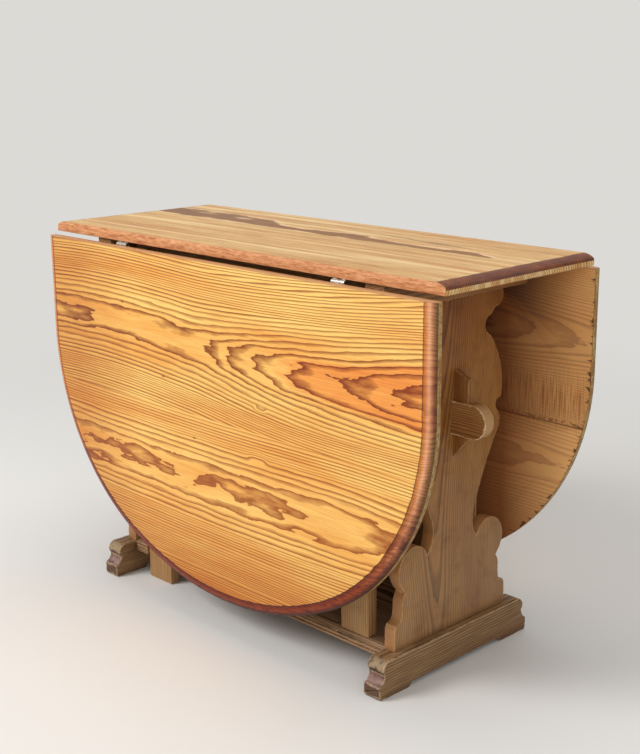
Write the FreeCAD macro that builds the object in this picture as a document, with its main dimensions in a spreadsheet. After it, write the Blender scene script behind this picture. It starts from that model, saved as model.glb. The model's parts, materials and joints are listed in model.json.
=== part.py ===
"""Drop-leaf trestle table in solid pine, with a swinging gate under each leaf.

Millimetres, +Z up. The origin is on the floor under the middle of the top, +X runs along the table and -Y is
the front. The table repeats itself when it is turned half round the Z axis, so every end and every side piece is
drawn once, for the right end (+X) or the front side (-Y), and its twin is the same piece turned half round.
The leaves hang, and the gates are folded away.
"""

import FreeCAD
import Part
import math
import os
import Sketcher

# Driving dimensions.
TOP = {
    "table_height": 730,
    "top_length": 1032,
    "top_width": 386,
    "front_plank_width": 226,
    "board_thickness": 20,
    "moulding_width": 23,
    "moulding_height": 11,
    "moulding_nose_radius": 6,
}
LEAF = {
    "leaf_depth": 639.5,
    "leaf_side": 185,
    "leaf_shoulder_radius": 435,
    "leaf_upper_plank": 287,
    "leaf_joint_gap": 0.5,
    "stop_block_length": 70,
    "stop_block_width": 50,
    "stop_block_ramp": 25,
    "stop_block_centre": 490,
    "stop_block_lip": 3,
    "stop_screw_spacing": 24,
    "stop_screw_length": 24,
}
HINGE = {
    "hinge_spacing": 586,
    "hinge_width": 30,
    "hinge_drop": 6,
    "flap_length": 42,
    "flap_thickness": 2,
    "barrel_radius": 5,
    "hinge_pin_radius": 2,
    "knuckle_length": 9.8,
    "knuckle_gap": 0.3,
    "flap_start": 6,
    "hinge_screw_spread": 16,
    "hinge_screw_near": 14,
    "hinge_screw_far": 32,
    "hinge_screw_length": 14,
}
TRESTLE = {
    "foot_span": 788,
    "foot_width": 38,
    "foot_height": 68,
    "panel_thickness": 24,
    "bearer_height": 46,
    "bearer_width": 40,
    "bearer_length": 372,
    "bearer_proud": 4,
    "shelf_level": 71,
    "shelf_width": 300,
    "shelf_thickness": 24,
    "stretcher_level": 457,
    "stretcher_height": 90,
    "stretcher_thickness": 30,
    "tenon_height": 60,
    "tenon_thickness": 24,
    "tenon_reach": 74,
    "tenon_end_radius": 30.5,
    "mortise_clearance": 0.3,
    "key_width": 31,
    "key_thickness": 11,
    "key_top_inner": 85,
    "key_top_outer": 70,
    "key_tip": 71,
    "key_shoulder": 37,
}
GATE = {
    "gate_line": 134,
    "post_spacing": 560,
    "post_thickness": 22,
    "pivot_post_width": 66,
    "swing_post_width": 70,
    "rail_thickness": 18,
    "rail_height": 60,
    "rail_tenon_length": 20,
    "rail_tenon_thickness": 9,
    "rail_tenon_shoulder": 8,
    "low_rail_level": 140,
    "gate_top_drop": 13,
    "floor_clearance": 1,
    "pivot_clearance": 0.4,
    "notch_clearance": 3,
    "pivot_pin_radius": 5,
    "pivot_pin_grip": 30,
    "top_pin_depth": 12,
    "shelf_pin_depth": 16,
}
FIXINGS = {
    "dowel_radius": 5,
    "dowel_grip": 25,
    "dowel_spacing": 90,
    "level_dowel_near": 45,
    "level_dowel_far": 135,
    "screw_radius": 2,
    "screw_head_radius": 3.8,
    "screw_head_height": 2,
    "bearer_screw_length": 58,
    "bearer_screw_edge": 18,
    "bearer_screw_step": 28,
    "fit": 0.05,
    "running_fit": 0.08,
}

# The scroll of an end panel, as half widths, levels and bends. A bend is the radius of the arc that arrives at
# the corner on the way down: negative where the edge swells out, positive where it hollows, 0 where it is straight.
# The upper corners are measured down from the panel's top, and the lower ones up from the foot.
UPPER_SCROLL = {
    "crest": (122, 0, 0),
    "crest_lobe": (108, 30.5, -21),
    "crest_cove": (97, 37, 14),
    "crest_bead": (87.5, 44, -12),
    "neck": (81.5, 72, 17),
    "neck_step": (93.5, 80.5, 0),
    "belly": (126, 195, -148),
    "nick_top": (116, 197.5, 0),
    "nick": (117, 219, 13),
    "lobe_top": (123, 229, 0),
    "lobe": (117, 256, -40),
}
LOWER_SCROLL = {
    "sweep": (62, 224, 600),
    "crotch": (66.5, 155, 60),
    "ear_top": (104, 179.5, -38),
    "ear_side": (141, 137, -43),
    "ear_foot": (122.5, 101.5, -60),
    "bead_top": (127.5, 94, 0),
    "bead": (130, 74, -40),
    "plinth_neck": (131, 60, 0),
    "plinth_cove": (146, 47, 14),
    "plinth": (149, 40, 0),
    "plinth_foot": (150, 0, 0),
}
# One end of a foot, from its top down, with levels above the floor.
FOOT_END = {
    "toe_lobe_start": (175, 68, 0),
    "toe_lobe": (192, 50, -17),
    "toe_quirk": (188, 43, 0),
    "toe_slope": (201, 25, 20),
    "toe": (201, 4, 0),
    "toe_heel": (198, 0, 0),
    "pad_end": (127, 0, 0),
    "arch": (118, 9, 0),
}
# The moulded long edge of the shelf, from its top down: distance in from the edge, level above its underside, bend.
SHELF_EDGE = {
    "shelf_round_start": (9, 24, 0),
    "shelf_round": (1, 14.5, -9.5),
    "shelf_quirk": (3, 14.5, 0),
    "shelf_bead_top": (3, 13.5, 0),
    "shelf_bead": (3, 6.5, -3.6),
    "shelf_groove": (3, 5.5, 0),
    "shelf_low_bead_top": (2.5, 5.5, 0),
    "shelf_low_bead": (2.5, 0, -2.8),
}
PROFILES = (UPPER_SCROLL, LOWER_SCROLL, FOOT_END, SHELF_EDGE)

MIDDLE = FreeCAD.Vector(0, 0, 0)
HALF_TURN = FreeCAD.Rotation(FreeCAD.Vector(0, 0, 1), 180)
ALONG_X = FreeCAD.Rotation(FreeCAD.Vector(0, 1, 0), 90)
ALONG_Z = FreeCAD.Rotation()
OUT_OF_LEAF = FreeCAD.Rotation(FreeCAD.Vector(1, 0, 0), 90)

doc = FreeCAD.newDocument("table")
nodes = []


class Size:
    """A length that carries its value and the sheet formula that gives it."""

    def __init__(self, value, formula=None):
        self.value = value
        self.formula = formula or repr(value)

    def joined(self, sign, other, value):
        other = as_size(other)
        return Size(value, f"({self.formula} {sign} {other.formula})")

    def __add__(self, other):
        return self.joined("+", other, self.value + as_size(other).value)

    def __sub__(self, other):
        return self.joined("-", other, self.value - as_size(other).value)

    def __mul__(self, other):
        return self.joined("*", other, self.value * as_size(other).value)

    def __truediv__(self, other):
        return self.joined("/", other, self.value / as_size(other).value)

    def __neg__(self):
        return Size(-self.value, f"(0 - {self.formula})")


def as_size(number):
    """The number itself where it is a Size, and a constant Size otherwise."""
    return number if isinstance(number, Size) else Size(number)


def root_of(size):
    """The square root of a size."""
    return Size(math.sqrt(size.value), f"sqrt({size.formula})")


class Sheet:
    """The spreadsheet of driving dimensions, read as attributes."""

    def __init__(self, groups):
        self.sheet = doc.addObject("Spreadsheet::Sheet", "Sizes")
        self.row = 0
        for group in groups:
            for alias, number in group.items():
                self.add(alias, number)
        doc.recompute()

    def add(self, alias, number):
        """Writes one named number to the next row."""
        self.row += 1
        self.sheet.set(f"A{self.row}", alias)
        self.sheet.set(f"B{self.row}", str(number))
        self.sheet.setAlias(f"B{self.row}", alias)
        setattr(self, alias, Size(float(number), f"Sizes.{alias}"))


def profile_cells(profiles):
    """One named number for each half width, level and bend of the profiles."""
    cells = {}
    for profile in profiles:
        for corner, (reach, level, bend) in profile.items():
            cells[f"{corner}_reach"] = reach
            cells[f"{corner}_level"] = level
            if bend:
                cells[f"{corner}_bend"] = bend
    return cells


S = Sheet([TOP, LEAF, HINGE, TRESTLE, GATE, FIXINGS, profile_cells(PROFILES)])

# Places that several pieces share.
UNDERSIDE = S.table_height - S.board_thickness
HALF_LENGTH = S.top_length / 2
HALF_WIDTH = S.top_width / 2
PIN_LEVEL = UNDERSIDE - S.hinge_drop
LEAF_FACE = HALF_WIDTH + S.hinge_drop
LEAF_TOP = PIN_LEVEL - S.leaf_joint_gap
FOOT_FACE = S.foot_span / 2
PANEL_INNER = FOOT_FACE - S.foot_width
PANEL_OUTER = PANEL_INNER + S.panel_thickness
PANEL_MIDDLE = PANEL_INNER + S.panel_thickness / 2
PANEL_TOP = UNDERSIDE - S.bearer_height
SHELF_TOP = S.shelf_level
SHELF_UNDERSIDE = SHELF_TOP - S.shelf_thickness
SHELF_MIDDLE = SHELF_TOP - S.shelf_thickness / 2
BEARER_OUTER = PANEL_OUTER + S.bearer_proud
BEARER_INNER = BEARER_OUTER - S.bearer_width
PIVOT_X = S.post_spacing / 2
GATE_TOP = UNDERSIDE - S.gate_top_drop
POST_BACK = S.gate_line - S.post_thickness / 2
DOWEL_PLACES = (-S.dowel_spacing, Size(0), S.dowel_spacing)
LEVEL_DOWEL_PLACES = (-S.level_dowel_far, -S.level_dowel_near, S.level_dowel_near, S.level_dowel_far)


def bind(thing, name, size):
    """Ties one property of an object to its sheet formula."""
    size = as_size(size)
    setattr(thing, name, size.value)
    thing.setExpression(name, size.formula)


def place(thing, where, side=1, turn=ALONG_Z):
    """Puts an object at a point of the right end or front side, or half round from it where side is -1."""
    x, y, z = (as_size(c) for c in where)
    if side < 0:
        x, y, turn = -x, -y, HALF_TURN.multiply(turn)
    thing.Placement = FreeCAD.Placement(FreeCAD.Vector(x.value, y.value, z.value), turn)
    for axis, size in zip("xyz", (x, y, z)):
        thing.setExpression(f".Placement.Base.{axis}", size.formula)


def node(thing, label):
    """Names a finished piece and lists it for the files."""
    thing.Label = label
    nodes.append(thing)
    return thing


def block(name, low, size, side=1):
    """A rectangular piece from its low corner and its sizes along X, Y and Z."""
    box = doc.addObject("Part::Box", name)
    for prop, length in zip(("Length", "Width", "Height"), size):
        bind(box, prop, length)
    place(box, low, side)
    return box


def rod(name, start, radius, length, side=1, turn=ALONG_Z):
    """A round piece that starts at a point and runs along its turned Z axis."""
    cylinder = doc.addObject("Part::Cylinder", name)
    bind(cylinder, "Radius", radius)
    bind(cylinder, "Height", length)
    place(cylinder, start, side, turn)
    return cylinder


def joined(name, shapes):
    """Several shapes as one solid."""
    fusion = doc.addObject("Part::MultiFuse", name)
    fusion.Shapes = shapes
    return fusion


def group(name, shapes):
    """Several separate solids in one piece list."""
    compound = doc.addObject("Part::Compound", name)
    compound.Links = shapes
    return compound


def cut(name, base, tools):
    """The base with every tool taken out of it."""
    result = doc.addObject("Part::Cut", name)
    result.Base = base
    result.Tool = tools[0] if len(tools) == 1 else group(f"{name}_tools", tools)
    return result


def body(name, where=(0, 0, 0), side=1):
    """An empty body for sketched features."""
    new_body = doc.addObject("PartDesign::Body", name)
    place(new_body, where, side)
    return new_body


def sketch_on(owner, role, offset=None):
    """A sketch on one of the body's own origin planes, or parallel to it at an offset."""
    plane = [f for f in owner.Origin.OriginFeatures if f.Role == role][0]
    sketch = owner.newObject("Sketcher::SketchObject", f"{owner.Name}_{role[:2]}")
    sketch.AttachmentSupport = [(plane, "")]
    sketch.MapMode = "FlatFace"
    if offset is not None:
        sketch.AttachmentOffset.Base = FreeCAD.Vector(0, 0, offset.value)
        sketch.setExpression("AttachmentOffset.Base.z", offset.formula)
    return sketch


def edge_between(start, end, bend):
    """A line, or the short arc of radius |bend| that turns left where bend is positive."""
    if not bend:
        return Part.LineSegment(start, end)
    chord = end - start
    left = FreeCAD.Vector(-chord.y, chord.x, 0).normalize()
    rise = math.sqrt(bend * bend - (chord.Length / 2) ** 2)
    centre = (start + end) / 2 + left * math.copysign(rise, bend)
    if bend < 0:
        start, end = end, start
    angles = [math.atan2(p.y - centre.y, p.x - centre.x) for p in (start, end)]
    circle = Part.Circle(centre, FreeCAD.Vector(0, 0, 1), abs(bend))
    return Part.ArcOfCircle(circle, angles[0], angles[1])


def fix_corner(sketch, edge, end, x, y):
    """Holds one end of an edge at its place."""
    for kind, axis, size in (("DistanceX", -2, x), ("DistanceY", -1, y)):
        if size.value == 0:
            sketch.addConstraint(Sketcher.Constraint("PointOnObject", edge, end, axis))
        else:
            index = sketch.addConstraint(Sketcher.Constraint(kind, -1, 1, edge, end, size.value))
            sketch.setExpression(f"Constraints[{index}]", size.formula)


def outline(sketch, corners):
    """A closed loop through corners of x, y and bend, each edge arriving at its corner with that bend."""
    first = sketch.GeometryCount
    count = len(corners)
    corners = [tuple(as_size(v) for v in corner) for corner in corners]
    points = [FreeCAD.Vector(x.value, y.value, 0) for x, y, _ in corners]
    for i, (_, _, bend) in enumerate(corners):
        sketch.addGeometry(edge_between(points[i - 1], points[i], bend.value), False)
    # An arc that swells out is drawn backwards, so its first point is the one at its corner.
    arrivals = [1 if bend.value < 0 else 2 for _, _, bend in corners]
    departures = [2 if bend.value < 0 else 1 for _, _, bend in corners]
    for i, (x, y, bend) in enumerate(corners):
        following = (i + 1) % count
        ends = (first + i, arrivals[i], first + following, departures[following])
        sketch.addConstraint(Sketcher.Constraint("Coincident", *ends))
        fix_corner(sketch, first + i, arrivals[i], x, y)
        if bend.value:
            index = sketch.addConstraint(Sketcher.Constraint("Radius", first + i, abs(bend.value)))
            sketch.setExpression(f"Constraints[{index}]", f"abs({bend.formula})")


def both_sides(corners):
    """The right-hand corners of a symmetric outline, then their mirror images back up the left."""
    mirrored = []
    for i in range(len(corners) - 1, -1, -1):
        x, y, _ = corners[i]
        bend = corners[i + 1][2] if i + 1 < len(corners) else 0
        mirrored.append((-as_size(x), y, bend))
    return [*corners, *mirrored]


def rectangle(low_x, low_y, high_x, high_y):
    """The four corners of a rectangle."""
    return [(high_x, low_y, 0), (high_x, high_y, 0), (low_x, high_y, 0), (low_x, low_y, 0)]


def pad(owner, sketch, length, middle=False):
    """The sketch made as thick as length, all to one side of its plane or half to each."""
    feature = owner.newObject("PartDesign::Pad", f"{owner.Name}_pad")
    feature.Profile = sketch
    feature.Midplane = middle
    bind(feature, "Length", length)
    return feature


def corners_of(profile, across, up):
    """The corners of a named profile, placed by the two functions."""
    placed = []
    for name in profile:
        reach = getattr(S, f"{name}_reach")
        level = getattr(S, f"{name}_level")
        bend = getattr(S, f"{name}_bend", Size(0))
        placed.append((across(reach), up(level), bend))
    return placed


def moulding_corners(edge, face):
    """The thumbnail moulding of a board's edge, from the edge up to the face, for an edge at the right."""
    run = S.moulding_width - S.moulding_nose_radius
    rise = S.moulding_height - S.moulding_nose_radius
    nose = S.moulding_nose_radius
    sweep = (run * run + S.moulding_height * S.moulding_height - nose * nose) / (rise * 2)
    share = sweep / (sweep - nose)
    meet_x = edge - S.moulding_width + run * share
    meet_y = face - sweep + (sweep - S.moulding_height) * share
    return [
        (edge, face - S.moulding_height, 0),
        (meet_x, meet_y, nose),
        (edge - S.moulding_width, face, sweep),
    ]


def screw(name, point, length, side=1, turn=ALONG_Z):
    """A countersunk wood screw, its head's flat face at the point."""
    head = doc.addObject("Part::Cone", f"{name}_head")
    bind(head, "Radius1", S.screw_head_radius)
    bind(head, "Radius2", S.screw_radius)
    bind(head, "Height", S.screw_head_height)
    place(head, point, side, turn)
    shank = rod(f"{name}_shank", point, S.screw_radius, length, side, turn)
    return joined(name, [head, shank])


def screw_hole(name, point, length, side=1, turn=ALONG_Z):
    """The countersunk hole that a screw fills."""
    head = doc.addObject("Part::Cone", f"{name}_sink")
    bind(head, "Radius1", S.screw_head_radius + S.fit)
    bind(head, "Radius2", S.screw_radius + S.fit)
    bind(head, "Height", S.screw_head_height)
    place(head, point, side, turn)
    bore = rod(f"{name}_bore", point, S.screw_radius + S.fit, length + S.fit, side, turn)
    return joined(name, [head, bore])


# ---------------------------------------------------------------- places of the fixings


def hinge_screw_points(hinge_x):
    """Where a top flap's screws stand: along the table, and in from the pin."""
    spread = S.hinge_screw_spread / 2
    return [
        (hinge_x - spread, S.hinge_screw_near),
        (hinge_x + spread, S.hinge_screw_near),
        (hinge_x, S.hinge_screw_far),
    ]


def hinge_places():
    """The middle of each hinge of one leaf, with its name."""
    return {"left": -(S.hinge_spacing / 2), "right": S.hinge_spacing / 2}


def top_flap_screws(make, name, side):
    """The screws, or the holes, of a side's top flaps."""
    made = []
    for end, hinge_x in hinge_places().items():
        for i, (x, inward) in enumerate(hinge_screw_points(hinge_x)):
            point = (x, inward - HALF_WIDTH, UNDERSIDE - S.flap_thickness)
            made.append(make(f"{name}_{end}_{i}", point, S.hinge_screw_length, side))
    return made


def leaf_flap_screws(make, name, side):
    """The screws, or the holes, of a side's leaf flaps and stop block."""
    made = []
    for end, hinge_x in hinge_places().items():
        for i, (x, down) in enumerate(hinge_screw_points(hinge_x)):
            point = (x, S.flap_thickness - LEAF_FACE, PIN_LEVEL - down)
            made.append(make(f"{name}_{end}_{i}", point, S.hinge_screw_length, side, OUT_OF_LEAF))
    return made


def stop_screws(make, name, side):
    """The screws, or the holes, of a side's stop block."""
    made = []
    for i in (-1, 1):
        x = PIVOT_X + (S.stop_block_ramp + S.stop_screw_spacing * i) / 2
        point = (x, stop_block_height() - LEAF_FACE, LEAF_TOP - S.stop_block_centre)
        made.append(make(f"{name}_stop_{i + 1}", point, S.stop_screw_length, side, OUT_OF_LEAF))
    return made


def bearer_screws(make, name, side):
    """The screws, or the holes, that hold a bearer to the top."""
    made = []
    for i, end in enumerate((-1, 1)):
        for j in (0, 1):
            y = (S.bearer_length / 2 - S.bearer_screw_edge - S.bearer_screw_step * j) * end
            point = (BEARER_INNER + S.bearer_width / 2, y, PANEL_TOP)
            made.append(make(f"{name}_{i}_{j}", point, S.bearer_screw_length, side))
    return made


def dowels(name, radius, level, side, grip=None):
    """Upright dowels, or their holes, through the joint at a level of an end panel."""
    grip = grip or S.dowel_grip
    made = []
    for i, y in enumerate(DOWEL_PLACES):
        made.append(rod(f"{name}_{i}", (PANEL_MIDDLE, y, level - grip), radius, grip * 2, side))
    return made


def shelf_dowels(name, radius, side, grip=None):
    """Level dowels, or their holes, through the joint of the shelf and a foot, between the upright ones."""
    grip = grip or S.dowel_grip
    made = []
    for i, y in enumerate(LEVEL_DOWEL_PLACES):
        start = (PANEL_INNER - grip, y, SHELF_MIDDLE)
        made.append(rod(f"{name}_{i}", start, radius, grip * 2, side, ALONG_X))
    return made


def pivot_pin(name, radius, side, top, clearance=0):
    """The pin under or over a gate's pivot post, or its hole with the clearance at its end."""
    if top:
        low = UNDERSIDE - S.pivot_clearance - S.pivot_pin_grip
        high = UNDERSIDE + S.top_pin_depth + clearance
    else:
        low = SHELF_TOP - S.shelf_pin_depth - clearance
        high = SHELF_TOP + S.pivot_clearance + S.pivot_pin_grip
    return rod(name, (PIVOT_X, -S.gate_line, low), radius, high - low, side)


# ---------------------------------------------------------------- top


def top_plank(label, high_y, width, drills):
    """One plank of the fixed centre, with moulded ends."""
    plank = body(f"{label}_blank", (0, high_y, 0))
    sketch = sketch_on(plank, "XZ_Plane")
    right = [(HALF_LENGTH, UNDERSIDE, 0), *moulding_corners(HALF_LENGTH, S.table_height)]
    outline(sketch, both_sides(right))
    pad(plank, sketch, width)
    return node(cut(f"{label}_drilled", plank, drills), label)


def make_top():
    """The two planks of the centre."""
    for label, high_y, width in (
        ("top_front_plank", S.front_plank_width - HALF_WIDTH, S.front_plank_width),
        ("top_rear_plank", HALF_WIDTH, S.top_width - S.front_plank_width),
    ):
        drills = []
        for side in (1, -1):
            end = "a" if side > 0 else "b"
            tag = f"{label}_{end}"
            drills += bearer_screws(screw_hole, f"{tag}_bearer", side)
            drills += top_flap_screws(screw_hole, f"{tag}_flap", side)
            hole = S.pivot_pin_radius + S.running_fit
            drills.append(pivot_pin(f"{tag}_pivot", hole, side, True, S.pivot_clearance))
        top_plank(label, high_y, width, drills)


# ---------------------------------------------------------------- trestle


def make_bearer(label, side):
    """A bearer across the underside of the top, over an end panel."""
    size = (S.bearer_width, S.bearer_length, S.bearer_height)
    bar = block(f"{label}_bar", (BEARER_INNER, -S.bearer_length / 2, PANEL_TOP), size, side)
    drills = bearer_screws(screw_hole, f"{label}_screw_hole", side)
    drills += dowels(f"{label}_dowel_hole", S.dowel_radius + S.fit, PANEL_TOP, side, S.dowel_grip + S.fit)
    return node(cut(f"{label}_drilled", bar, drills), label)


def make_end_panel(label, side):
    """A scroll-cut end panel with its through mortise."""
    panel = body(f"{label}_blank", (PANEL_INNER, 0, 0), side)
    sketch = sketch_on(panel, "YZ_Plane")
    right = corners_of(UPPER_SCROLL, lambda reach: reach, lambda level: PANEL_TOP - level)
    right += corners_of(LOWER_SCROLL, lambda reach: reach, lambda level: S.foot_height + level)
    outline(sketch, both_sides(right))
    half_thickness = S.tenon_thickness / 2 + S.mortise_clearance
    half_height = S.tenon_height / 2 + S.mortise_clearance
    level = S.stretcher_level
    outline(sketch, rectangle(-half_thickness, level - half_height, half_thickness, level + half_height))
    pad(panel, sketch, S.panel_thickness)
    grip = S.dowel_grip + S.fit
    drills = dowels(f"{label}_top_hole", S.dowel_radius + S.fit, PANEL_TOP, side, grip)
    drills += dowels(f"{label}_foot_hole", S.dowel_radius + S.fit, S.foot_height, side, grip)
    return node(cut(f"{label}_drilled", panel, drills), label)


def make_foot(label, side):
    """A sledge foot with shaped ends, on a pad at each end."""
    foot = body(f"{label}_blank", (PANEL_INNER, 0, 0), side)
    sketch = sketch_on(foot, "YZ_Plane")
    outline(sketch, both_sides(corners_of(FOOT_END, lambda reach: reach, lambda level: level)))
    pad(foot, sketch, S.foot_width)
    grip = S.dowel_grip + S.fit
    drills = dowels(f"{label}_panel_hole", S.dowel_radius + S.fit, S.foot_height, side, grip)
    drills += shelf_dowels(f"{label}_shelf_hole", S.dowel_radius + S.fit, side, grip)
    return node(cut(f"{label}_drilled", foot, drills), label)


def make_shelf():
    """The shelf between the feet, notched for the swinging posts."""
    shelf = body("shelf_blank", (0, 0, 0))
    section = sketch_on(shelf, "YZ_Plane")
    half = S.shelf_width / 2
    edge = corners_of(SHELF_EDGE, lambda reach: half - reach, lambda level: SHELF_UNDERSIDE + level)
    outline(section, both_sides(edge))
    pad(shelf, section, PANEL_INNER * 2, middle=True)
    drills = []
    for side in (1, -1):
        end = "a" if side > 0 else "b"
        low = (
            -PIVOT_X - S.swing_post_width / 2 - S.notch_clearance,
            -half - S.notch_clearance,
            SHELF_UNDERSIDE - S.notch_clearance,
        )
        size = (
            S.swing_post_width + S.notch_clearance * 2,
            half - POST_BACK + S.notch_clearance * 2,
            S.shelf_thickness + S.notch_clearance * 2,
        )
        drills.append(block(f"shelf_notch_{end}", low, size, side))
        hole = S.pivot_pin_radius + S.running_fit
        drills.append(pivot_pin(f"shelf_pivot_{end}", hole, side, False, S.pivot_clearance))
        grip = S.dowel_grip + S.fit
        drills += shelf_dowels(f"shelf_dowel_hole_{end}", S.dowel_radius + S.fit, side, grip)
    return node(cut("shelf_drilled", shelf, drills), "shelf")


def make_stretcher():
    """The stretcher between the end panels, with a long round-ended tenon through each."""
    stretcher = body("stretcher_body", (0, 0, S.stretcher_level))
    tenons = sketch_on(stretcher, "XZ_Plane")
    half = S.tenon_height / 2
    tip = PANEL_OUTER + S.tenon_reach
    shoulder = tip - S.tenon_end_radius + root_of(S.tenon_end_radius * S.tenon_end_radius - half * half)
    right = [(shoulder, half, 0), (shoulder, -half, -S.tenon_end_radius)]
    outline(tenons, both_sides(right))
    pad(stretcher, tenons, S.tenon_thickness, middle=True)
    rail = sketch_on(stretcher, "XZ_Plane")
    deep = S.stretcher_height / 2
    outline(rail, rectangle(-PANEL_INNER, -deep, PANEL_INNER, deep))
    pad(stretcher, rail, S.stretcher_thickness, middle=True)
    slots = []
    for side in (1, -1):
        end = "a" if side > 0 else "b"
        depth = S.key_thickness + S.mortise_clearance * 2
        low = (PANEL_OUTER - S.notch_clearance, -depth / 2, S.stretcher_level - S.tenon_height)
        size = (S.key_width + S.notch_clearance + S.mortise_clearance, depth, S.tenon_height * 2)
        slots.append(block(f"key_slot_{end}", low, size, side))
    return node(cut("stretcher_slotted", stretcher, slots), "stretcher")


def make_key(label, side):
    """A wedge key that holds a tenon tight against its panel."""
    key = body(label, (PANEL_OUTER, 0, S.stretcher_level), side)
    sketch = sketch_on(key, "XZ_Plane")
    corners = [
        (0, S.key_top_inner, 0),
        (S.key_width, S.key_top_outer, 0),
        (S.key_width, -S.key_shoulder, 0),
        (0, -S.key_tip, 0),
    ]
    outline(sketch, corners)
    pad(key, sketch, S.key_thickness, middle=True)
    return node(key, label)


def make_trestle():
    """Both ends, the shelf and the stretcher, with what holds them together."""
    for end, side in (("right", 1), ("left", -1)):
        make_bearer(f"{end}_bearer", side)
        make_end_panel(f"{end}_end_panel", side)
        make_foot(f"{end}_foot", side)
        make_key(f"{end}_stretcher_key", side)
    make_shelf()
    make_stretcher()
    screws = []
    upper = []
    lower = []
    level = []
    for side in (1, -1):
        end = "a" if side > 0 else "b"
        screws += bearer_screws(screw, f"bearer_screw_{end}", side)
        upper += dowels(f"upper_dowel_{end}", S.dowel_radius, PANEL_TOP, side)
        lower += dowels(f"lower_dowel_{end}", S.dowel_radius, S.foot_height, side)
        level += shelf_dowels(f"level_dowel_{end}", S.dowel_radius, side)
    node(group("bearer_screw_set", screws), "bearer_screws")
    node(group("upper_dowel_set", upper), "bearer_dowels")
    node(group("lower_dowel_set", lower), "foot_dowels")
    node(group("level_dowel_set", level), "shelf_dowels")


# ---------------------------------------------------------------- hinges


def flap(label, plate, lugs, barrels, pin_hole, screw_holes):
    """One flap of a hinge: its plate, its knuckles and the holes through them."""
    solid = joined(f"{label}_solid", [plate, *lugs, *barrels])
    return node(cut(f"{label}_drilled", solid, [pin_hole, *screw_holes]), label)


def make_hinge(label, hinge_x, side):
    """A back-flap hinge on the underside of the joint: two flaps and a pin."""
    half = S.hinge_width / 2
    middle = half - S.knuckle_length - S.knuckle_gap
    inner = S.flap_start
    plate_length = S.flap_length - S.flap_start
    outer_starts = (hinge_x - half, hinge_x + half - S.knuckle_length)
    pin_line = -HALF_WIDTH

    name = f"{label}_top_flap"
    plate_low = (hinge_x - half, pin_line + inner, UNDERSIDE - S.flap_thickness)
    plate = block(f"{name}_plate", plate_low, (S.hinge_width, plate_length, S.flap_thickness), side)
    lugs = []
    barrels = []
    for i, x in enumerate(outer_starts):
        low = (x, pin_line, UNDERSIDE - S.flap_thickness)
        lugs.append(block(f"{name}_lug_{i}", low, (S.knuckle_length, inner, S.flap_thickness), side))
        start = (x, pin_line, PIN_LEVEL)
        barrels.append(rod(f"{name}_barrel_{i}", start, S.barrel_radius, S.knuckle_length, side, ALONG_X))
    start = (hinge_x - half, pin_line, PIN_LEVEL)
    bore = rod(f"{name}_bore", start, S.hinge_pin_radius + S.fit, S.hinge_width, side, ALONG_X)
    holes = []
    for i, (x, inward) in enumerate(hinge_screw_points(hinge_x)):
        point = (x, inward - HALF_WIDTH, UNDERSIDE - S.flap_thickness)
        holes.append(screw_hole(f"{name}_hole_{i}", point, S.hinge_screw_length, side))
    flap(name, plate, lugs, barrels, bore, holes)

    name = f"{label}_leaf_flap"
    plate_low = (hinge_x - half, -LEAF_FACE, PIN_LEVEL - S.flap_length)
    plate = block(f"{name}_plate", plate_low, (S.hinge_width, S.flap_thickness, plate_length), side)
    low = (hinge_x - middle, -LEAF_FACE, PIN_LEVEL - inner)
    lug = block(f"{name}_lug", low, (middle * 2, S.flap_thickness, inner), side)
    start = (hinge_x - middle, pin_line, PIN_LEVEL)
    barrel = rod(f"{name}_barrel", start, S.barrel_radius, middle * 2, side, ALONG_X)
    start = (hinge_x - half, pin_line, PIN_LEVEL)
    bore = rod(f"{name}_bore", start, S.hinge_pin_radius + S.running_fit, S.hinge_width, side, ALONG_X)
    holes = []
    for i, (x, down) in enumerate(hinge_screw_points(hinge_x)):
        point = (x, S.flap_thickness - LEAF_FACE, PIN_LEVEL - down)
        holes.append(screw_hole(f"{name}_hole_{i}", point, S.hinge_screw_length, side, OUT_OF_LEAF))
    flap(name, plate, [lug], [barrel], bore, holes)

    start = (hinge_x - half, pin_line, PIN_LEVEL)
    node(rod(f"{label}_pin_rod", start, S.hinge_pin_radius, S.hinge_width, side, ALONG_X), f"{label}_pin")


# ---------------------------------------------------------------- leaves


def stop_block_height():
    """A stop block fills the room between the leaf's underside and the top of an open gate."""
    return S.gate_top_drop - S.pivot_clearance


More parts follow.
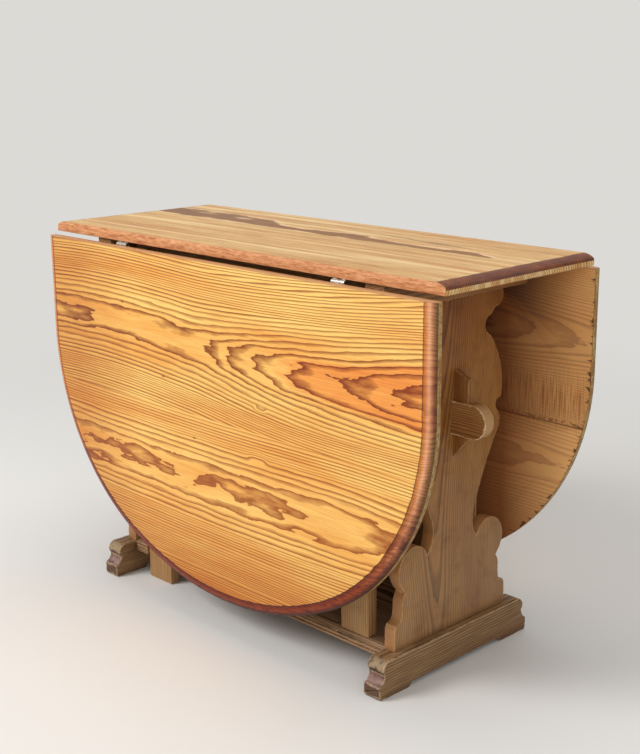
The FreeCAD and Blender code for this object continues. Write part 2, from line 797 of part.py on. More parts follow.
def leaf_blank(name, side):
    """A whole leaf with its moulded curved edge, before it is divided into planks."""
    leaf = body(name, (0, -LEAF_FACE, 0), side)
    shape = sketch_on(leaf, "XZ_Plane")
    shoulder = S.leaf_shoulder_radius
    centre_x = HALF_LENGTH - shoulder
    fall = S.leaf_depth - S.leaf_side
    bottom = (centre_x * centre_x + fall * fall - shoulder * shoulder) / ((fall - shoulder) * 2)
    share = bottom / (bottom - shoulder)
    meet_x = centre_x * share
    meet_z = LEAF_TOP - S.leaf_depth + bottom - (bottom - fall) * share
    side_end = LEAF_TOP - S.leaf_side
    corners = [
        (-HALF_LENGTH, LEAF_TOP, 0),
        (HALF_LENGTH, LEAF_TOP, 0),
        (HALF_LENGTH, side_end, 0),
        (meet_x, meet_z, -shoulder),
        (-meet_x, meet_z, -bottom),
        (-HALF_LENGTH, side_end, -shoulder),
    ]
    outline(shape, corners)
    pad(leaf, shape, S.board_thickness)
    profile = sketch_on(leaf, "XY_Plane", LEAF_TOP)
    face = -S.board_thickness
    waste = S.moulding_height
    # The board's face looks along -Y, so the moulding is drawn upside down here, with its bends turned over.
    moulding = [(x, -y, -as_size(bend)) for x, y, bend in moulding_corners(HALF_LENGTH, S.board_thickness)]
    corners = [
        *moulding,
        (HALF_LENGTH - S.moulding_width, face - waste, 0),
        (HALF_LENGTH + waste, face - waste, 0),
        (HALF_LENGTH + waste, face + S.moulding_height, 0),
    ]
    outline(profile, corners)
    edge = leaf.newObject("PartDesign::SubtractivePipe", f"{name}_moulding")
    edge.Profile = profile
    edge.Spine = (shape, ["Edge3", "Edge4", "Edge5", "Edge6", "Edge1"])
    edge.Mode = "Standard"
    return leaf


def make_leaf(label, side):
    """A drop leaf of two planks with its stop block and its screws."""
    flap_screws = leaf_flap_screws(screw, f"{label}_screw", side)
    node(group(f"{label}_flap_screw_set", flap_screws), f"{label}_flap_screws")
    block_screws = stop_screws(screw, f"{label}_screw", side)
    node(group(f"{label}_stop_screw_set", block_screws), f"{label}_stop_screws")
    lower_depth = S.leaf_depth - S.leaf_upper_plank
    for plank, top, depth in (
        ("upper", LEAF_TOP, S.leaf_upper_plank),
        ("lower", LEAF_TOP - S.leaf_upper_plank, lower_depth),
    ):
        name = f"{label}_{plank}_plank"
        low = (-HALF_LENGTH, -LEAF_FACE - S.board_thickness, top - depth)
        strip = block(f"{name}_strip", low, (S.top_length, S.board_thickness, depth), side)
        piece = doc.addObject("Part::Common", f"{name}_piece")
        piece.Base = leaf_blank(f"{name}_blank", side)
        piece.Tool = strip
        if plank == "upper":
            holes = leaf_flap_screws(screw_hole, f"{name}_hole", side)
        else:
            holes = stop_screws(screw_hole, f"{name}_hole", side)
        node(cut(f"{name}_drilled", piece, holes), name)
    make_stop_block(f"{label}_stop_block", side)
    for end, hinge_x in hinge_places().items():
        make_hinge(f"{label}_{end}_hinge", hinge_x, side)


def make_stop_block(label, side):
    """The ramped block under a leaf that an open gate slides onto."""
    low = LEAF_TOP - S.stop_block_centre - S.stop_block_width / 2
    ramp = body(f"{label}_ramp", (PIVOT_X, -LEAF_FACE, low), side)
    sketch = sketch_on(ramp, "XY_Plane")
    half = S.stop_block_length / 2
    height = stop_block_height()
    corners = [
        (-half, 0, 0),
        (half, 0, 0),
        (half, height, 0),
        (S.stop_block_ramp - half, height, 0),
        (-half, S.stop_block_lip, 0),
    ]
    outline(sketch, corners)
    pad(ramp, sketch, S.stop_block_width)
    holes = stop_screws(screw_hole, f"{label}_hole", side)
    return node(cut(f"{label}_drilled", ramp, holes), label)


# ---------------------------------------------------------------- gates


def post(label, centre_x, width, low, high, extra, side):
    """An upright of a gate with a mortise for each rail, and other holes."""
    size = (width, S.post_thickness, high - low)
    upright = block(f"{label}_bar", (centre_x - width / 2, -S.gate_line - S.post_thickness / 2, low), size, side)
    mortises = []
    toward = -1 if centre_x.value > 0 else 1
    for i, level in enumerate(rail_levels()):
        depth = S.rail_tenon_length + S.fit
        edge = centre_x + width / 2 * toward
        start = edge - depth if toward > 0 else edge
        mortises.append(tenon_block(f"{label}_mortise_{i}", start, depth, level, S.fit, side))
    return node(cut(f"{label}_mortised", upright, mortises + extra), label)


def rail_levels():
    """The undersides of a gate's two rails."""
    return (GATE_TOP - S.rail_height, S.low_rail_level)


def tenon_block(name, start, length, level, clearance, side):
    """A rail tenon, or its mortise with the clearance all round."""
    thickness = S.rail_tenon_thickness + clearance * 2
    low = (start, -S.gate_line - thickness / 2, level + S.rail_tenon_shoulder - clearance)
    size = (length, thickness, S.rail_height - S.rail_tenon_shoulder * 2 + clearance * 2)
    return block(name, low, size, side)


def make_rail(label, level, side):
    """A rail of a gate with a tenon at each end."""
    start = -PIVOT_X + S.swing_post_width / 2
    end = PIVOT_X - S.pivot_post_width / 2
    low = (start, -S.gate_line - S.rail_thickness / 2, level)
    bar = block(f"{label}_bar", low, (end - start, S.rail_thickness, S.rail_height), side)
    reach = S.rail_tenon_length
    tenons = tenon_block(f"{label}_tenons", start - reach, end - start + reach * 2, level, Size(0), side)
    return node(joined(f"{label}_solid", [bar, tenons]), label)


def make_gate(label, side):
    """A folded gate: two posts, two rails and the pins that it turns on."""
    pin = S.pivot_pin_radius
    holes = [
        pivot_pin(f"{label}_pin_hole_{end}", pin + S.fit, side, end == "top", S.fit) for end in ("top", "foot")
    ]
    low = SHELF_TOP + S.pivot_clearance
    high = UNDERSIDE - S.pivot_clearance
    post(f"{label}_pivot_post", PIVOT_X, S.pivot_post_width, low, high, holes, side)
    post(f"{label}_swing_post", -PIVOT_X, S.swing_post_width, S.floor_clearance, GATE_TOP, [], side)
    for name, level in zip(("top_rail", "low_rail"), rail_levels()):
        make_rail(f"{label}_{name}", level, side)
    for end in ("top", "foot"):
        node(pivot_pin(f"{label}_{end}_pin_rod", pin, side, end == "top"), f"{label}_{end}_pin")


def check_and_write():
    """Stops on any failed object or bad shape, then writes one file for each piece."""
    doc.recompute()
    failed = [o.Label for o in doc.Objects if "Invalid" in o.State or "Error" in o.State]
    if failed:
        raise RuntimeError(f"failed objects: {failed}")
    for piece in nodes:
        if piece.Shape.isNull() or not piece.Shape.isValid() or piece.Shape.Volume <= 0:
            raise RuntimeError(f"bad shape: {piece.Label}")
    os.makedirs("parts", exist_ok=True)
    for piece in nodes:
        piece.Shape.exportStep(f"parts/{piece.Label}.step")
        print(piece.Label, len(piece.Shape.Solids), round(piece.Shape.Volume))
    print(len(nodes), "pieces")


make_top()
make_trestle()
for face, sign in (("front", 1), ("rear", -1)):
    make_leaf(f"{face}_leaf", sign)
    make_gate(f"{face}_gate", sign)
    flap_screws = top_flap_screws(screw, f"{face}_top_flap_screw", sign)
    node(group(f"{face}_top_flap_screw_set", flap_screws), f"{face}_top_flap_screws")
check_and_write()
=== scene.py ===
"""Looks of a drop-leaf trestle table in varnished pine.

Metres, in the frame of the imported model: +X along the table, -Y the front, +Z up, and the origin on the
floor. Every wooden piece is cut from its own imagined log. Its grain is a set of growth rings round a pith
line that runs along the piece. So a face shows stripes or flames, an end shows arcs, and all of them meet
at the edges.
"""

import json
import math
from functools import partial

import bmesh
import bpy
from mathutils import Matrix, Vector, kdtree, noise


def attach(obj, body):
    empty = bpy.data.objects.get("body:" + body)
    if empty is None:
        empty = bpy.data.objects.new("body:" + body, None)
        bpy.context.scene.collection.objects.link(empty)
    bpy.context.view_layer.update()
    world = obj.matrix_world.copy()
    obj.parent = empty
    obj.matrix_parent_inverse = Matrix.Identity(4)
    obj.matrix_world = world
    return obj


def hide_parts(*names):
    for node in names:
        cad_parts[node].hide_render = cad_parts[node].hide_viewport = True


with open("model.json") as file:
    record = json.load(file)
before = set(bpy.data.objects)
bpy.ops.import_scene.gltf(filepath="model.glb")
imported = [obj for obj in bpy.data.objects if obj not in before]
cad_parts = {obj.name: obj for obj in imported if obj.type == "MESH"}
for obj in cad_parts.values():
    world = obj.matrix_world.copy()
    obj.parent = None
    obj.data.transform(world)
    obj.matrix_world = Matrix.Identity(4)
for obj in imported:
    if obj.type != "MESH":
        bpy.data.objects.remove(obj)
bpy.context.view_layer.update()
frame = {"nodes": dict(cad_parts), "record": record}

MM = 0.001

# The camera, fitted to the table standing at the origin. Its angles are in radians.
CAMERA_PLACE = (1.7505, -1.6560, 1.0792)
CAMERA_YAW = -0.7991
CAMERA_PITCH = 0.2523
CAMERA_ROLL = -0.0071
LENS_MM = 62.14

# Sizes of the table that its finishes follow.
HALF_LENGTH = 516 * MM
HALF_TOP_WIDTH = 193 * MM
TOP_SEAM = 33 * MM
TABLE_HEIGHT = 730 * MM
TOP_THICKNESS = 20 * MM
LEAF_TOP = 703.5 * MM
LEAF_SEAM = 416.5 * MM
LEAF_INNER = 199 * MM
LEAF_DEPTH = 639.5 * MM
LEAF_SIDE = 185 * MM
SHOULDER_RADIUS = 435 * MM
FILLET_HEIGHT = 9 * MM
MOULDING_WIDTH = 23 * MM
MOULDING_HEIGHT = 11 * MM
FOOT_TOP = 68 * MM
FOOT_END = 150 * MM
TENON_TIP = 454 * MM

# How a copy of a CAD mesh is merged, and which of its edges are eased.
WELD = 0.01 * MM
FLAT_ANGLE = math.radians(0.5)
ARRIS_ANGLE = math.radians(32)
CREASE_ANGLE = math.radians(20)
SEAM_REACH = 0.1 * MM
HOLE_SIZE = 12 * MM
BITE_STEP = 3 * MM

# A ring count that no board reaches, for a board with no resinous heart.
NO_HEART = -50.0

MATH = "ShaderNodeMath"
VECTOR = "ShaderNodeVectorMath"
NOISE = "ShaderNodeTexNoise"
MIX = "ShaderNodeMix"
RANGE = "ShaderNodeMapRange"
RAMP = "ShaderNodeValToRGB"
CURVE = "ShaderNodeFloatCurve"
MAPPING = "ShaderNodeMapping"


def linear(colour):
    """An sRGB hex colour as Blender's linear red, green, blue and alpha."""
    parts = [int(colour[i : i + 2], 16) / 255 for i in (1, 3, 5)]
    return (*[p / 12.92 if p <= 0.04045 else ((p + 0.055) / 1.055) ** 2.4 for p in parts], 1)


def resolved(tree, value):
    """What a socket takes: a value as it is, a hex colour made linear, or the socket with a node's result.

    A fade is a node and two sizes: it is a mask that rises from 0 at the first size to 1 at the second.
    """
    if isinstance(value, tuple) and isinstance(value[0], (bpy.types.Node, bpy.types.NodeSocket)):
        value = add_node(tree, RANGE, dict(zip(("Value", "From Min", "From Max"), value)))
    if isinstance(value, bpy.types.Node):
        return next(output for output in value.outputs if output.enabled)
    return linear(value) if isinstance(value, str) else value


def add_node(tree, kind, inputs=None, stops=None, points=None, **settings):
    """Adds a node with its settings and links. An input is a value, a colour, a socket, a node or a fade."""
    node = tree.nodes.new(kind)
    for name, value in settings.items():
        setattr(node, name, value)
    for key, value in (inputs or {}).items():
        value = resolved(tree, value)
        if isinstance(value, bpy.types.NodeSocket):
            tree.links.new(value, node.inputs[key])
        else:
            node.inputs[key].default_value = value
    if stops:
        elements = node.color_ramp.elements
        while len(elements) < len(stops):
            elements.new(0.5)
        for element, (position, colour) in zip(elements, stops):
            element.position = position
            element.color = resolved(tree, colour)
    if points:
        curve = node.mapping.curves[0]
        while len(curve.points) < len(points):
            curve.points.new(0.5, 0.5)
        for point, place in zip(curve.points, points):
            point.location = place
        node.mapping.update()
    return node


def new_group(name, tree_kind, inputs, outputs):
    """An empty node group. Each input has a kind and a default, or None where it is always set."""
    tree = bpy.data.node_groups.new(name, tree_kind)
    for socket, (kind, default) in inputs.items():
        made = tree.interface.new_socket(name=socket, in_out="INPUT", socket_type=f"NodeSocket{kind}")
        if default is not None:
            made.default_value = default
    for socket, kind in outputs.items():
        tree.interface.new_socket(name=socket, in_out="OUTPUT", socket_type=f"NodeSocket{kind}")
    return tree, tree.nodes.new("NodeGroupInput").outputs


def new_material(name):
    """A material with an empty node tree."""
    material = bpy.data.materials.new(name)
    material.use_nodes = True
    material.node_tree.nodes.clear()
    return material


def new_object(name, data):
    """An object in the scene that holds a mesh, a lamp or the camera."""
    made = bpy.data.objects.new(name, data)
    bpy.context.scene.collection.objects.link(made)
    return made


# ---------------------------------------------------------------- wood


def growth_rings():
    """Pine growth rings round a pith line: pale early wood darkens outwards and stops sharply at each ring.

    Rings are counted from the ring that the face just touches at its middle, where Lead is the count.
    """
    numbers = (
        "Ring Width", "Pith Depth", "Pith Across", "Crown", "Wander", "Jag", "Bunching", "Lead", "Seed",
    )
    inputs = {"Place": ("Vector", None), **dict.fromkeys(numbers, ("Float", None))}
    tree, given = new_group("growth_rings", "ShaderNodeTree", inputs, {"Late": "Float", "Count": "Float"})
    add = partial(add_node, tree)
    offset = add(VECTOR, {0: (1.37, 2.11, 0.73), "Scale": given["Seed"]}, operation="SCALE")
    shifted = add(VECTOR, {0: given["Place"], 1: offset}, operation="ADD")
    # A trunk bends over some 500 mm along the grain and 150 mm across it.
    bend = add(VECTOR, {0: shifted, 1: (2, 6, 6)}, operation="MULTIPLY")
    slow = add(NOISE, {"Vector": bend, "Scale": 1, "Detail": 1.5, "Roughness": 0.4}, normalize=False)
    slow = add(VECTOR, {0: slow.outputs["Color"], "Scale": given["Wander"]}, operation="SCALE")
    moved = add(VECTOR, {0: given["Place"], 1: slow}, operation="ADD")
    moved = add("ShaderNodeSeparateXYZ", {0: moved})
    across = add(MATH, {0: moved.outputs["Y"], 1: given["Pith Across"]}, operation="SUBTRACT")
    depth = add(MATH, {0: moved.outputs["Z"], 1: given["Pith Depth"]}, operation="SUBTRACT")
    depth = add(MATH, {0: depth}, operation="ABSOLUTE")
    across = add(MATH, {0: across, 1: across}, operation="MULTIPLY")
    square = add(MATH, {0: depth, 1: depth, 2: across}, operation="MULTIPLY_ADD")
    radius = add(MATH, {0: square}, operation="SQRT")
    rise = add(MATH, {0: radius, 1: depth}, operation="SUBTRACT")
    # The rings of an old trunk are flatter over the middle of a board than a circle is.
    crown = add(MATH, {0: given["Crown"], 1: given["Crown"], 2: across}, operation="MULTIPLY_ADD")
    flatter = add(MATH, {0: across, 1: crown}, operation="DIVIDE")
    rise = add(MATH, {0: rise, 1: flatter}, operation="MULTIPLY")
    count = add(MATH, {0: rise, 1: given["Ring Width"]}, operation="DIVIDE")
    # Good and bad years come in runs, so the rings bunch up and spread out over some 30 mm.
    years = add(MATH, {0: rise, 1: 30, 2: given["Seed"]}, operation="MULTIPLY_ADD")
    runs = add(NOISE, {"W": years, "Scale": 1, "Detail": 2}, noise_dimensions="1D", normalize=False)
    count = add(MATH, {0: runs, 1: given["Bunching"], 2: count}, operation="MULTIPLY_ADD")
    # Ripples 70 mm long and 16 mm across, with finer teeth, fade where the rings stand steeper in the face.
    ripple = add(VECTOR, {0: shifted, 1: (15, 62, 45)}, operation="MULTIPLY")
    ripple = add(NOISE, {"Vector": ripple, "Scale": 1, "Detail": 5, "Roughness": 0.5}, normalize=False)
    steep = add(MATH, {0: rise, 1: 120, 2: 1.0}, operation="MULTIPLY_ADD")
    reach = add(MATH, {0: given["Jag"], 1: steep}, operation="DIVIDE")
    count = add(MATH, {0: ripple, 1: reach, 2: count}, operation="MULTIPLY_ADD")
    count = add(MATH, {0: count, 1: given["Lead"]}, operation="ADD")
    # Each ring is dark to a degree of its own, in spells of some three rings.
    share = add(MATH, {0: count}, operation="FRACT")
    year = add(MATH, {0: count}, operation="FLOOR")
    year = add(MATH, {0: given["Seed"], 1: 17.0, 2: year}, operation="MULTIPLY_ADD")
    single = add("ShaderNodeTexWhiteNoise", {"W": year}, noise_dimensions="1D")
    spell = add(MATH, {0: year, 1: 0.32}, operation="MULTIPLY")
    spell = add(NOISE, {"W": spell, "Scale": 1, "Detail": 1}, noise_dimensions="1D")
    level = add(MIX, {0: 0.5, 2: single, 3: (spell, 0.35, 0.65)})
    level = add(RANGE, {"Value": level, "From Min": 0.1, "From Max": 0.8, "To Min": 0.68, "To Max": 1})
    # The rings by the flame's middle are the boldest.
    bold = add(RANGE, {"Value": rise, "From Min": 7 * MM, "From Max": 0, "To Max": 0.45})
    level = add(MATH, {0: level, 1: bold}, operation="ADD", use_clamp=True)
    shape = ((0, 0.06), (0.46, 0), (0.6, 0.45), (0.78, 0.75), (0.9, 1), (0.985, 1), (1, 0.06))
    stops = [(place, (dark, dark, dark, 1)) for place, dark in shape]
    late = add(RAMP, {0: share}, stops=stops)
    late = add(MATH, {0: late, 1: level}, operation="MULTIPLY")
    add("NodeGroupOutput", {"Late": late, "Count": count})
    return tree


def leaf_rim():
    """How far a point lies inside a leaf's outline: straight sides, shoulder arcs and one bottom arc."""
    inputs = {"Place": ("Vector", None)}
    tree, given = new_group("leaf_rim", "ShaderNodeTree", inputs, {"Inside": "Float"})
    add = partial(add_node, tree)
    place = add("ShaderNodeSeparateXYZ", {0: given["Place"]})
    out = add(MATH, {0: place.outputs["X"]}, operation="ABSOLUTE")
    here = add("ShaderNodeCombineXYZ", {0: out, 2: place.outputs["Z"]})
    centre_out = HALF_LENGTH - SHOULDER_RADIUS
    fall = LEAF_DEPTH - LEAF_SIDE
    bottom_radius = (centre_out**2 + fall**2 - SHOULDER_RADIUS**2) / (2 * (fall - SHOULDER_RADIUS))
    side_end = LEAF_TOP - LEAF_SIDE
    bottom_centre = LEAF_TOP - LEAF_DEPTH + bottom_radius
    side = add(MATH, {0: HALF_LENGTH, 1: out}, operation="SUBTRACT")
    inside = {}
    for arc, centre, radius in (
        ("shoulder", (centre_out, 0, side_end), SHOULDER_RADIUS),
        ("bottom", (0, 0, bottom_centre), bottom_radius),
    ):
        reach = add(VECTOR, {0: here, 1: centre}, operation="DISTANCE")
        inside[arc] = add(MATH, {0: radius, 1: reach}, operation="SUBTRACT")
    # The bottom arc holds below the line from its centre through the shoulder's centre.
    drop = add(MATH, {0: bottom_centre, 1: place.outputs["Z"]}, operation="SUBTRACT")
    drop = add(MATH, {0: drop, 1: centre_out}, operation="MULTIPLY")
    tilt = add(MATH, {0: out, 1: side_end - bottom_centre, 2: drop}, operation="MULTIPLY_ADD")
    at_bottom = add(MATH, {0: tilt, 1: 0.0}, operation="GREATER_THAN")
    curved = add(MIX, {0: at_bottom, 2: inside["shoulder"], 3: inside["bottom"]})
    below = add(MATH, {0: place.outputs["Z"], 1: side_end}, operation="LESS_THAN")
    result = add(MIX, {0: below, 2: side, 3: curved})
    add("NodeGroupOutput", {"Inside": result})
    return tree


RINGS = growth_rings()
RIM = leaf_rim()


class Wood:
    """One wooden material while it is being made: its coordinates, its rings and its colour so far.

    The grain is three letters: the axis along the grain, the one across it, and the one through the board.
    """

    def __init__(self, name, grain):
        self.material = new_material(name)
        self.tree = self.material.node_tree
        where = add_node(self.tree, "ShaderNodeTexCoord").outputs
        self.point = where["Object"]
        self.axis = self.add("ShaderNodeSeparateXYZ", {0: self.point}).outputs
        away = self.add(VECTOR, {0: self.point}, operation="ABSOLUTE")
        self.out = self.add("ShaderNodeSeparateXYZ", {0: away}).outputs
        self.facing = self.add("ShaderNodeSeparateXYZ", {0: where["Normal"]}).outputs
        self.along, self.across, self.depth = (self.axis[letter] for letter in grain)
        self.board = self.add("ShaderNodeCombineXYZ", {0: self.along, 1: self.across, 2: self.depth})
        self.lead = 0.0

    def add(self, kind, inputs=None, **settings):
        """Adds a node to this material."""
        return add_node(self.tree, kind, inputs, **settings)

    def flame(self, level, swing, lead, start, rings_per_metre, swells=()):
        """Moves the pith line to the flame's wavy middle, and counts rings off along it to open V shapes.

        Places and sizes are in millimetres. A swing is a wave's length, height and phase. A swell is a
        place, two half sizes and a number of rings, and shows as a patch, an island or a tongue.
        """
        length, size, phase = swing
        turns = 2 * math.pi / (length * MM)
        angle = self.add(MATH, {0: self.along, 1: turns, 2: phase}, operation="MULTIPLY_ADD")
        wave = self.add(MATH, {0: angle}, operation="SINE")
        middle = self.add(MATH, {0: wave, 1: size * MM, 2: level * MM}, operation="MULTIPLY_ADD")
        run = self.add(MATH, {0: self.along, 1: start * MM}, operation="SUBTRACT")
        run = self.add(MATH, {0: run, 1: 0.0, 2: 60 * MM}, operation="SMOOTH_MAX")
        lead = self.add(MATH, {0: run, 1: -rings_per_metre, 2: lead}, operation="MULTIPLY_ADD")
        for *oval, rings in swells:
            lead = self.add(MATH, {0: self.spot(*oval), 1: rings, 2: lead}, operation="MULTIPLY_ADD")
        self.across = self.add(MATH, {0: self.across, 1: middle}, operation="SUBTRACT").outputs[0]
        self.lead = lead

    def spot(self, along, across, half_length, half_height):
        """An oval mask on the board with a flat middle and a soft border, in millimetres."""
        place = (along * MM, across * MM, 0)
        size = (half_length * MM, half_height * MM, 1000)
        local = self.add(MAPPING, {0: self.board, 1: place, 3: size}, vector_type="TEXTURE")
        reach = self.add(VECTOR, {0: local, 1: local}, operation="DOT_PRODUCT")
        fade = self.add(MATH, {0: reach, 1: reach}, operation="MULTIPLY")
        fade = self.add(MATH, {0: fade, 1: -1}, operation="MULTIPLY")
        return self.add(MATH, {0: fade}, operation="EXPONENT")

    def saw(self, early, late, cut):
        """Cuts the piece from its log and gives it its two wood colours."""
        place = self.add("ShaderNodeCombineXYZ", {0: self.along, 1: self.across, 2: self.depth})
        rings = self.add("ShaderNodeGroup", {"Place": place, "Lead": self.lead, **cut}, node_tree=RINGS)
        self.late = rings.outputs["Late"]
        self.count = rings.outputs["Count"]
        seed = cut["Seed"]
        # Fibres are some 0.5 mm across and 60 mm long; they are drawn 1.5 mm wide so that they show.
        self.fibre = self.flecks(self.board, (16, 650, 650), 3, 0.6, start=(seed, 0, 0))
        self.cloud = self.flecks(self.board, (2.5, 22, 22), 3, 0.55, start=(seed, seed, 0))
        self.colour = self.add(MIX, {0: self.late, 6: early, 7: late}, data_type="RGBA")

    def tint(self, mask, amount, colour, blend="MULTIPLY", within=()):
        """Tints the wood where a mask is high, and so is each bound that it lies within."""
        for bound in within:
            mask = self.add(MATH, {0: mask, 1: bound}, operation="MULTIPLY")
        weight = self.add(MATH, {0: mask, 1: amount}, operation="MULTIPLY", use_clamp=True)
        layers = {0: weight, 6: self.colour, 7: colour}
        self.colour = self.add(MIX, layers, data_type="RGBA", blend_type=blend)

    def cover(self, mask, amount, colour, within=()):
        """Lays a colour over the wood as paint, dirt or bare wood does, instead of tinting it."""
        self.tint(mask, amount, colour, "MIX", within)

    def streaks(self, fibre, cloud, dark, warm):
        """Fine fibre streaks, and slow drifts from pale to warm."""
        self.tint((self.fibre, 0.4, 0.72), fibre, dark)
        self.tint((self.cloud, 0.35, 0.7), cloud, warm)

    def between(self, value, low, high, soft):
        """A mask that is 1 where the value lies between two sizes, with a soft border."""
        rise = (value, low - soft, low + soft)
        fall = (value, high + soft, high - soft)
        return self.add(MATH, {0: rise, 1: fall}, operation="MULTIPLY")

    def flecks(self, space, scale, detail, roughness=0.5, start=(0, 0, 0), **settings):
        """Noise with a scale of its own along each axis of a space, in flecks to the metre."""
        place = self.add(MAPPING, {0: space, 1: start, 3: scale})
        inputs = {"Vector": place, "Scale": 1, "Detail": detail, "Roughness": roughness}
        return self.add(NOISE, inputs, **settings)

    def patches(self, scale, low, high, stretch=(1, 1, 1)):
        """A blotchy mask that follows no grain: scuffs, chips and grime."""
        place = self.add(MAPPING, {0: self.point, 3: stretch})
        blotches = self.add(NOISE, {"Vector": place, "Scale": scale, "Detail": 5, "Roughness": 0.65})
        return (blotches, low, high)

    def wear(self, colour, amount):
        """Rubbed arrises: the eased edges of a piece carry a mark of their own."""
        worn = self.add("ShaderNodeAttribute", attribute_name="worn").outputs["Fac"]
        self.cover(worn, amount, colour, within=[self.patches(90, 0.35, 0.55)])

    def finish(self, roughness, coat=0.0):
        """The surface: a satin varnish or wax over grain that stands 0.15 mm proud."""
        height = self.add(MATH, {0: self.fibre, 1: 0.5, 2: self.late}, operation="MULTIPLY_ADD")
        bump = self.add("ShaderNodeBump", {"Strength": 0.6, "Distance": 0.15 * MM, "Height": height})
        rough = self.add(RANGE, {"Value": self.late, "To Min": roughness, "To Max": roughness - 0.08})
        # Open pores and old wax mirror a little less than smooth varnish, hence the low specular level.
        surface = {
            "Base Color": self.colour,
            "Roughness": rough,
            "IOR": 1.5,
            "Specular IOR Level": 0.32,
            "Coat Weight": coat,
            "Coat Roughness": 0.3,
            "Normal": bump,
        }
        shader = self.add("ShaderNodeBsdfPrincipled", surface)
        self.add("ShaderNodeOutputMaterial", {"Surface": shader})
        return self.material


def stained_rim(wood):
    """The stained moulding round a leaf, its bare fillet and its rubbed hinge edge."""
    add = wood.add
    inside = add("ShaderNodeGroup", {"Place": wood.point}, node_tree=RIM).outputs["Inside"]
    fillet = LEAF_INNER + FILLET_HEIGHT
    over_fillet = add(MATH, {0: wood.out["Y"], 1: fillet}, operation="GREATER_THAN")
    # The brush strayed by half a millimetre or so over the moulding's inner line.
    stray = add(NOISE, {"Vector": wood.point, "Scale": 60, "Detail": 3}, normalize=False)
    line = add(MATH, {0: stray, 1: 1.2 * MM, 2: inside}, operation="MULTIPLY_ADD")
    inner = MOULDING_WIDTH - 1.5 * MM
    near = (line, inner, inner - 1.2 * MM)
    stain = add(MATH, {0: near, 1: over_fillet}, operation="MULTIPLY")
    # The stain is painted dark in the quirk and by the fillet, as painted shade, and pale in the middle of
    # the round, as a painted sheen.
    place = (line, 0.0, MOULDING_WIDTH)
    stops = [
        (0.0, "#4E2A18"), (0.12, "#764430"), (0.26, "#B67452"), (0.42, "#E4A680"),
        (0.55, "#DC9262"), (0.67, "#C6702C"), (0.79, "#B4601E"), (0.83, "#8A4614"),
        (0.87, "#42180A"),
    ]
    wood.cover(stain, 0.85, add(RAMP, {0: place}, stops=stops))
    # Low down, where the round turns under, it is painted darker and redder as painted shade, and the grain
    # shows strongly through it.
    low = (wood.axis["Z"], 420 * MM, 200 * MM)
    low = add(MATH, {0: low, 1: stain}, operation="MULTIPLY")
    wood.tint(low, 1.0, "#B0681E")
    strokes = wood.flecks(wood.point, (70, 160, 260), 4, 0.6)
    strokes = (strokes, 0.45, 0.62)
    strokes = add(MATH, {0: strokes, 1: wood.late}, operation="MAXIMUM")
    strength = add(MATH, {0: low, 1: 0.6, 2: 0.25}, operation="MULTIPLY_ADD")
    wood.tint(strokes, 1.0, "#8E5A38", within=[strength, stain])
    # The square fillet at the back of the edge was left bare.
    edge = (inside, 1.2 * MM, 0.5 * MM)
    under = add(MATH, {0: 1, 1: over_fillet}, operation="SUBTRACT")
    chips = wood.patches(90, 0.44, 0.58)
    bare = add(MIX, {0: chips, 6: "#86602E", 7: "#B2935A"}, data_type="RGBA")
    wood.cover(edge, 0.9, bare, within=[under])
    top_strip = add(MATH, {0: wood.axis["Z"], 1: LEAF_TOP - 0.6 * MM}, operation="GREATER_THAN")
    wood.cover(top_strip, 0.75, "#B98862")
    return inside


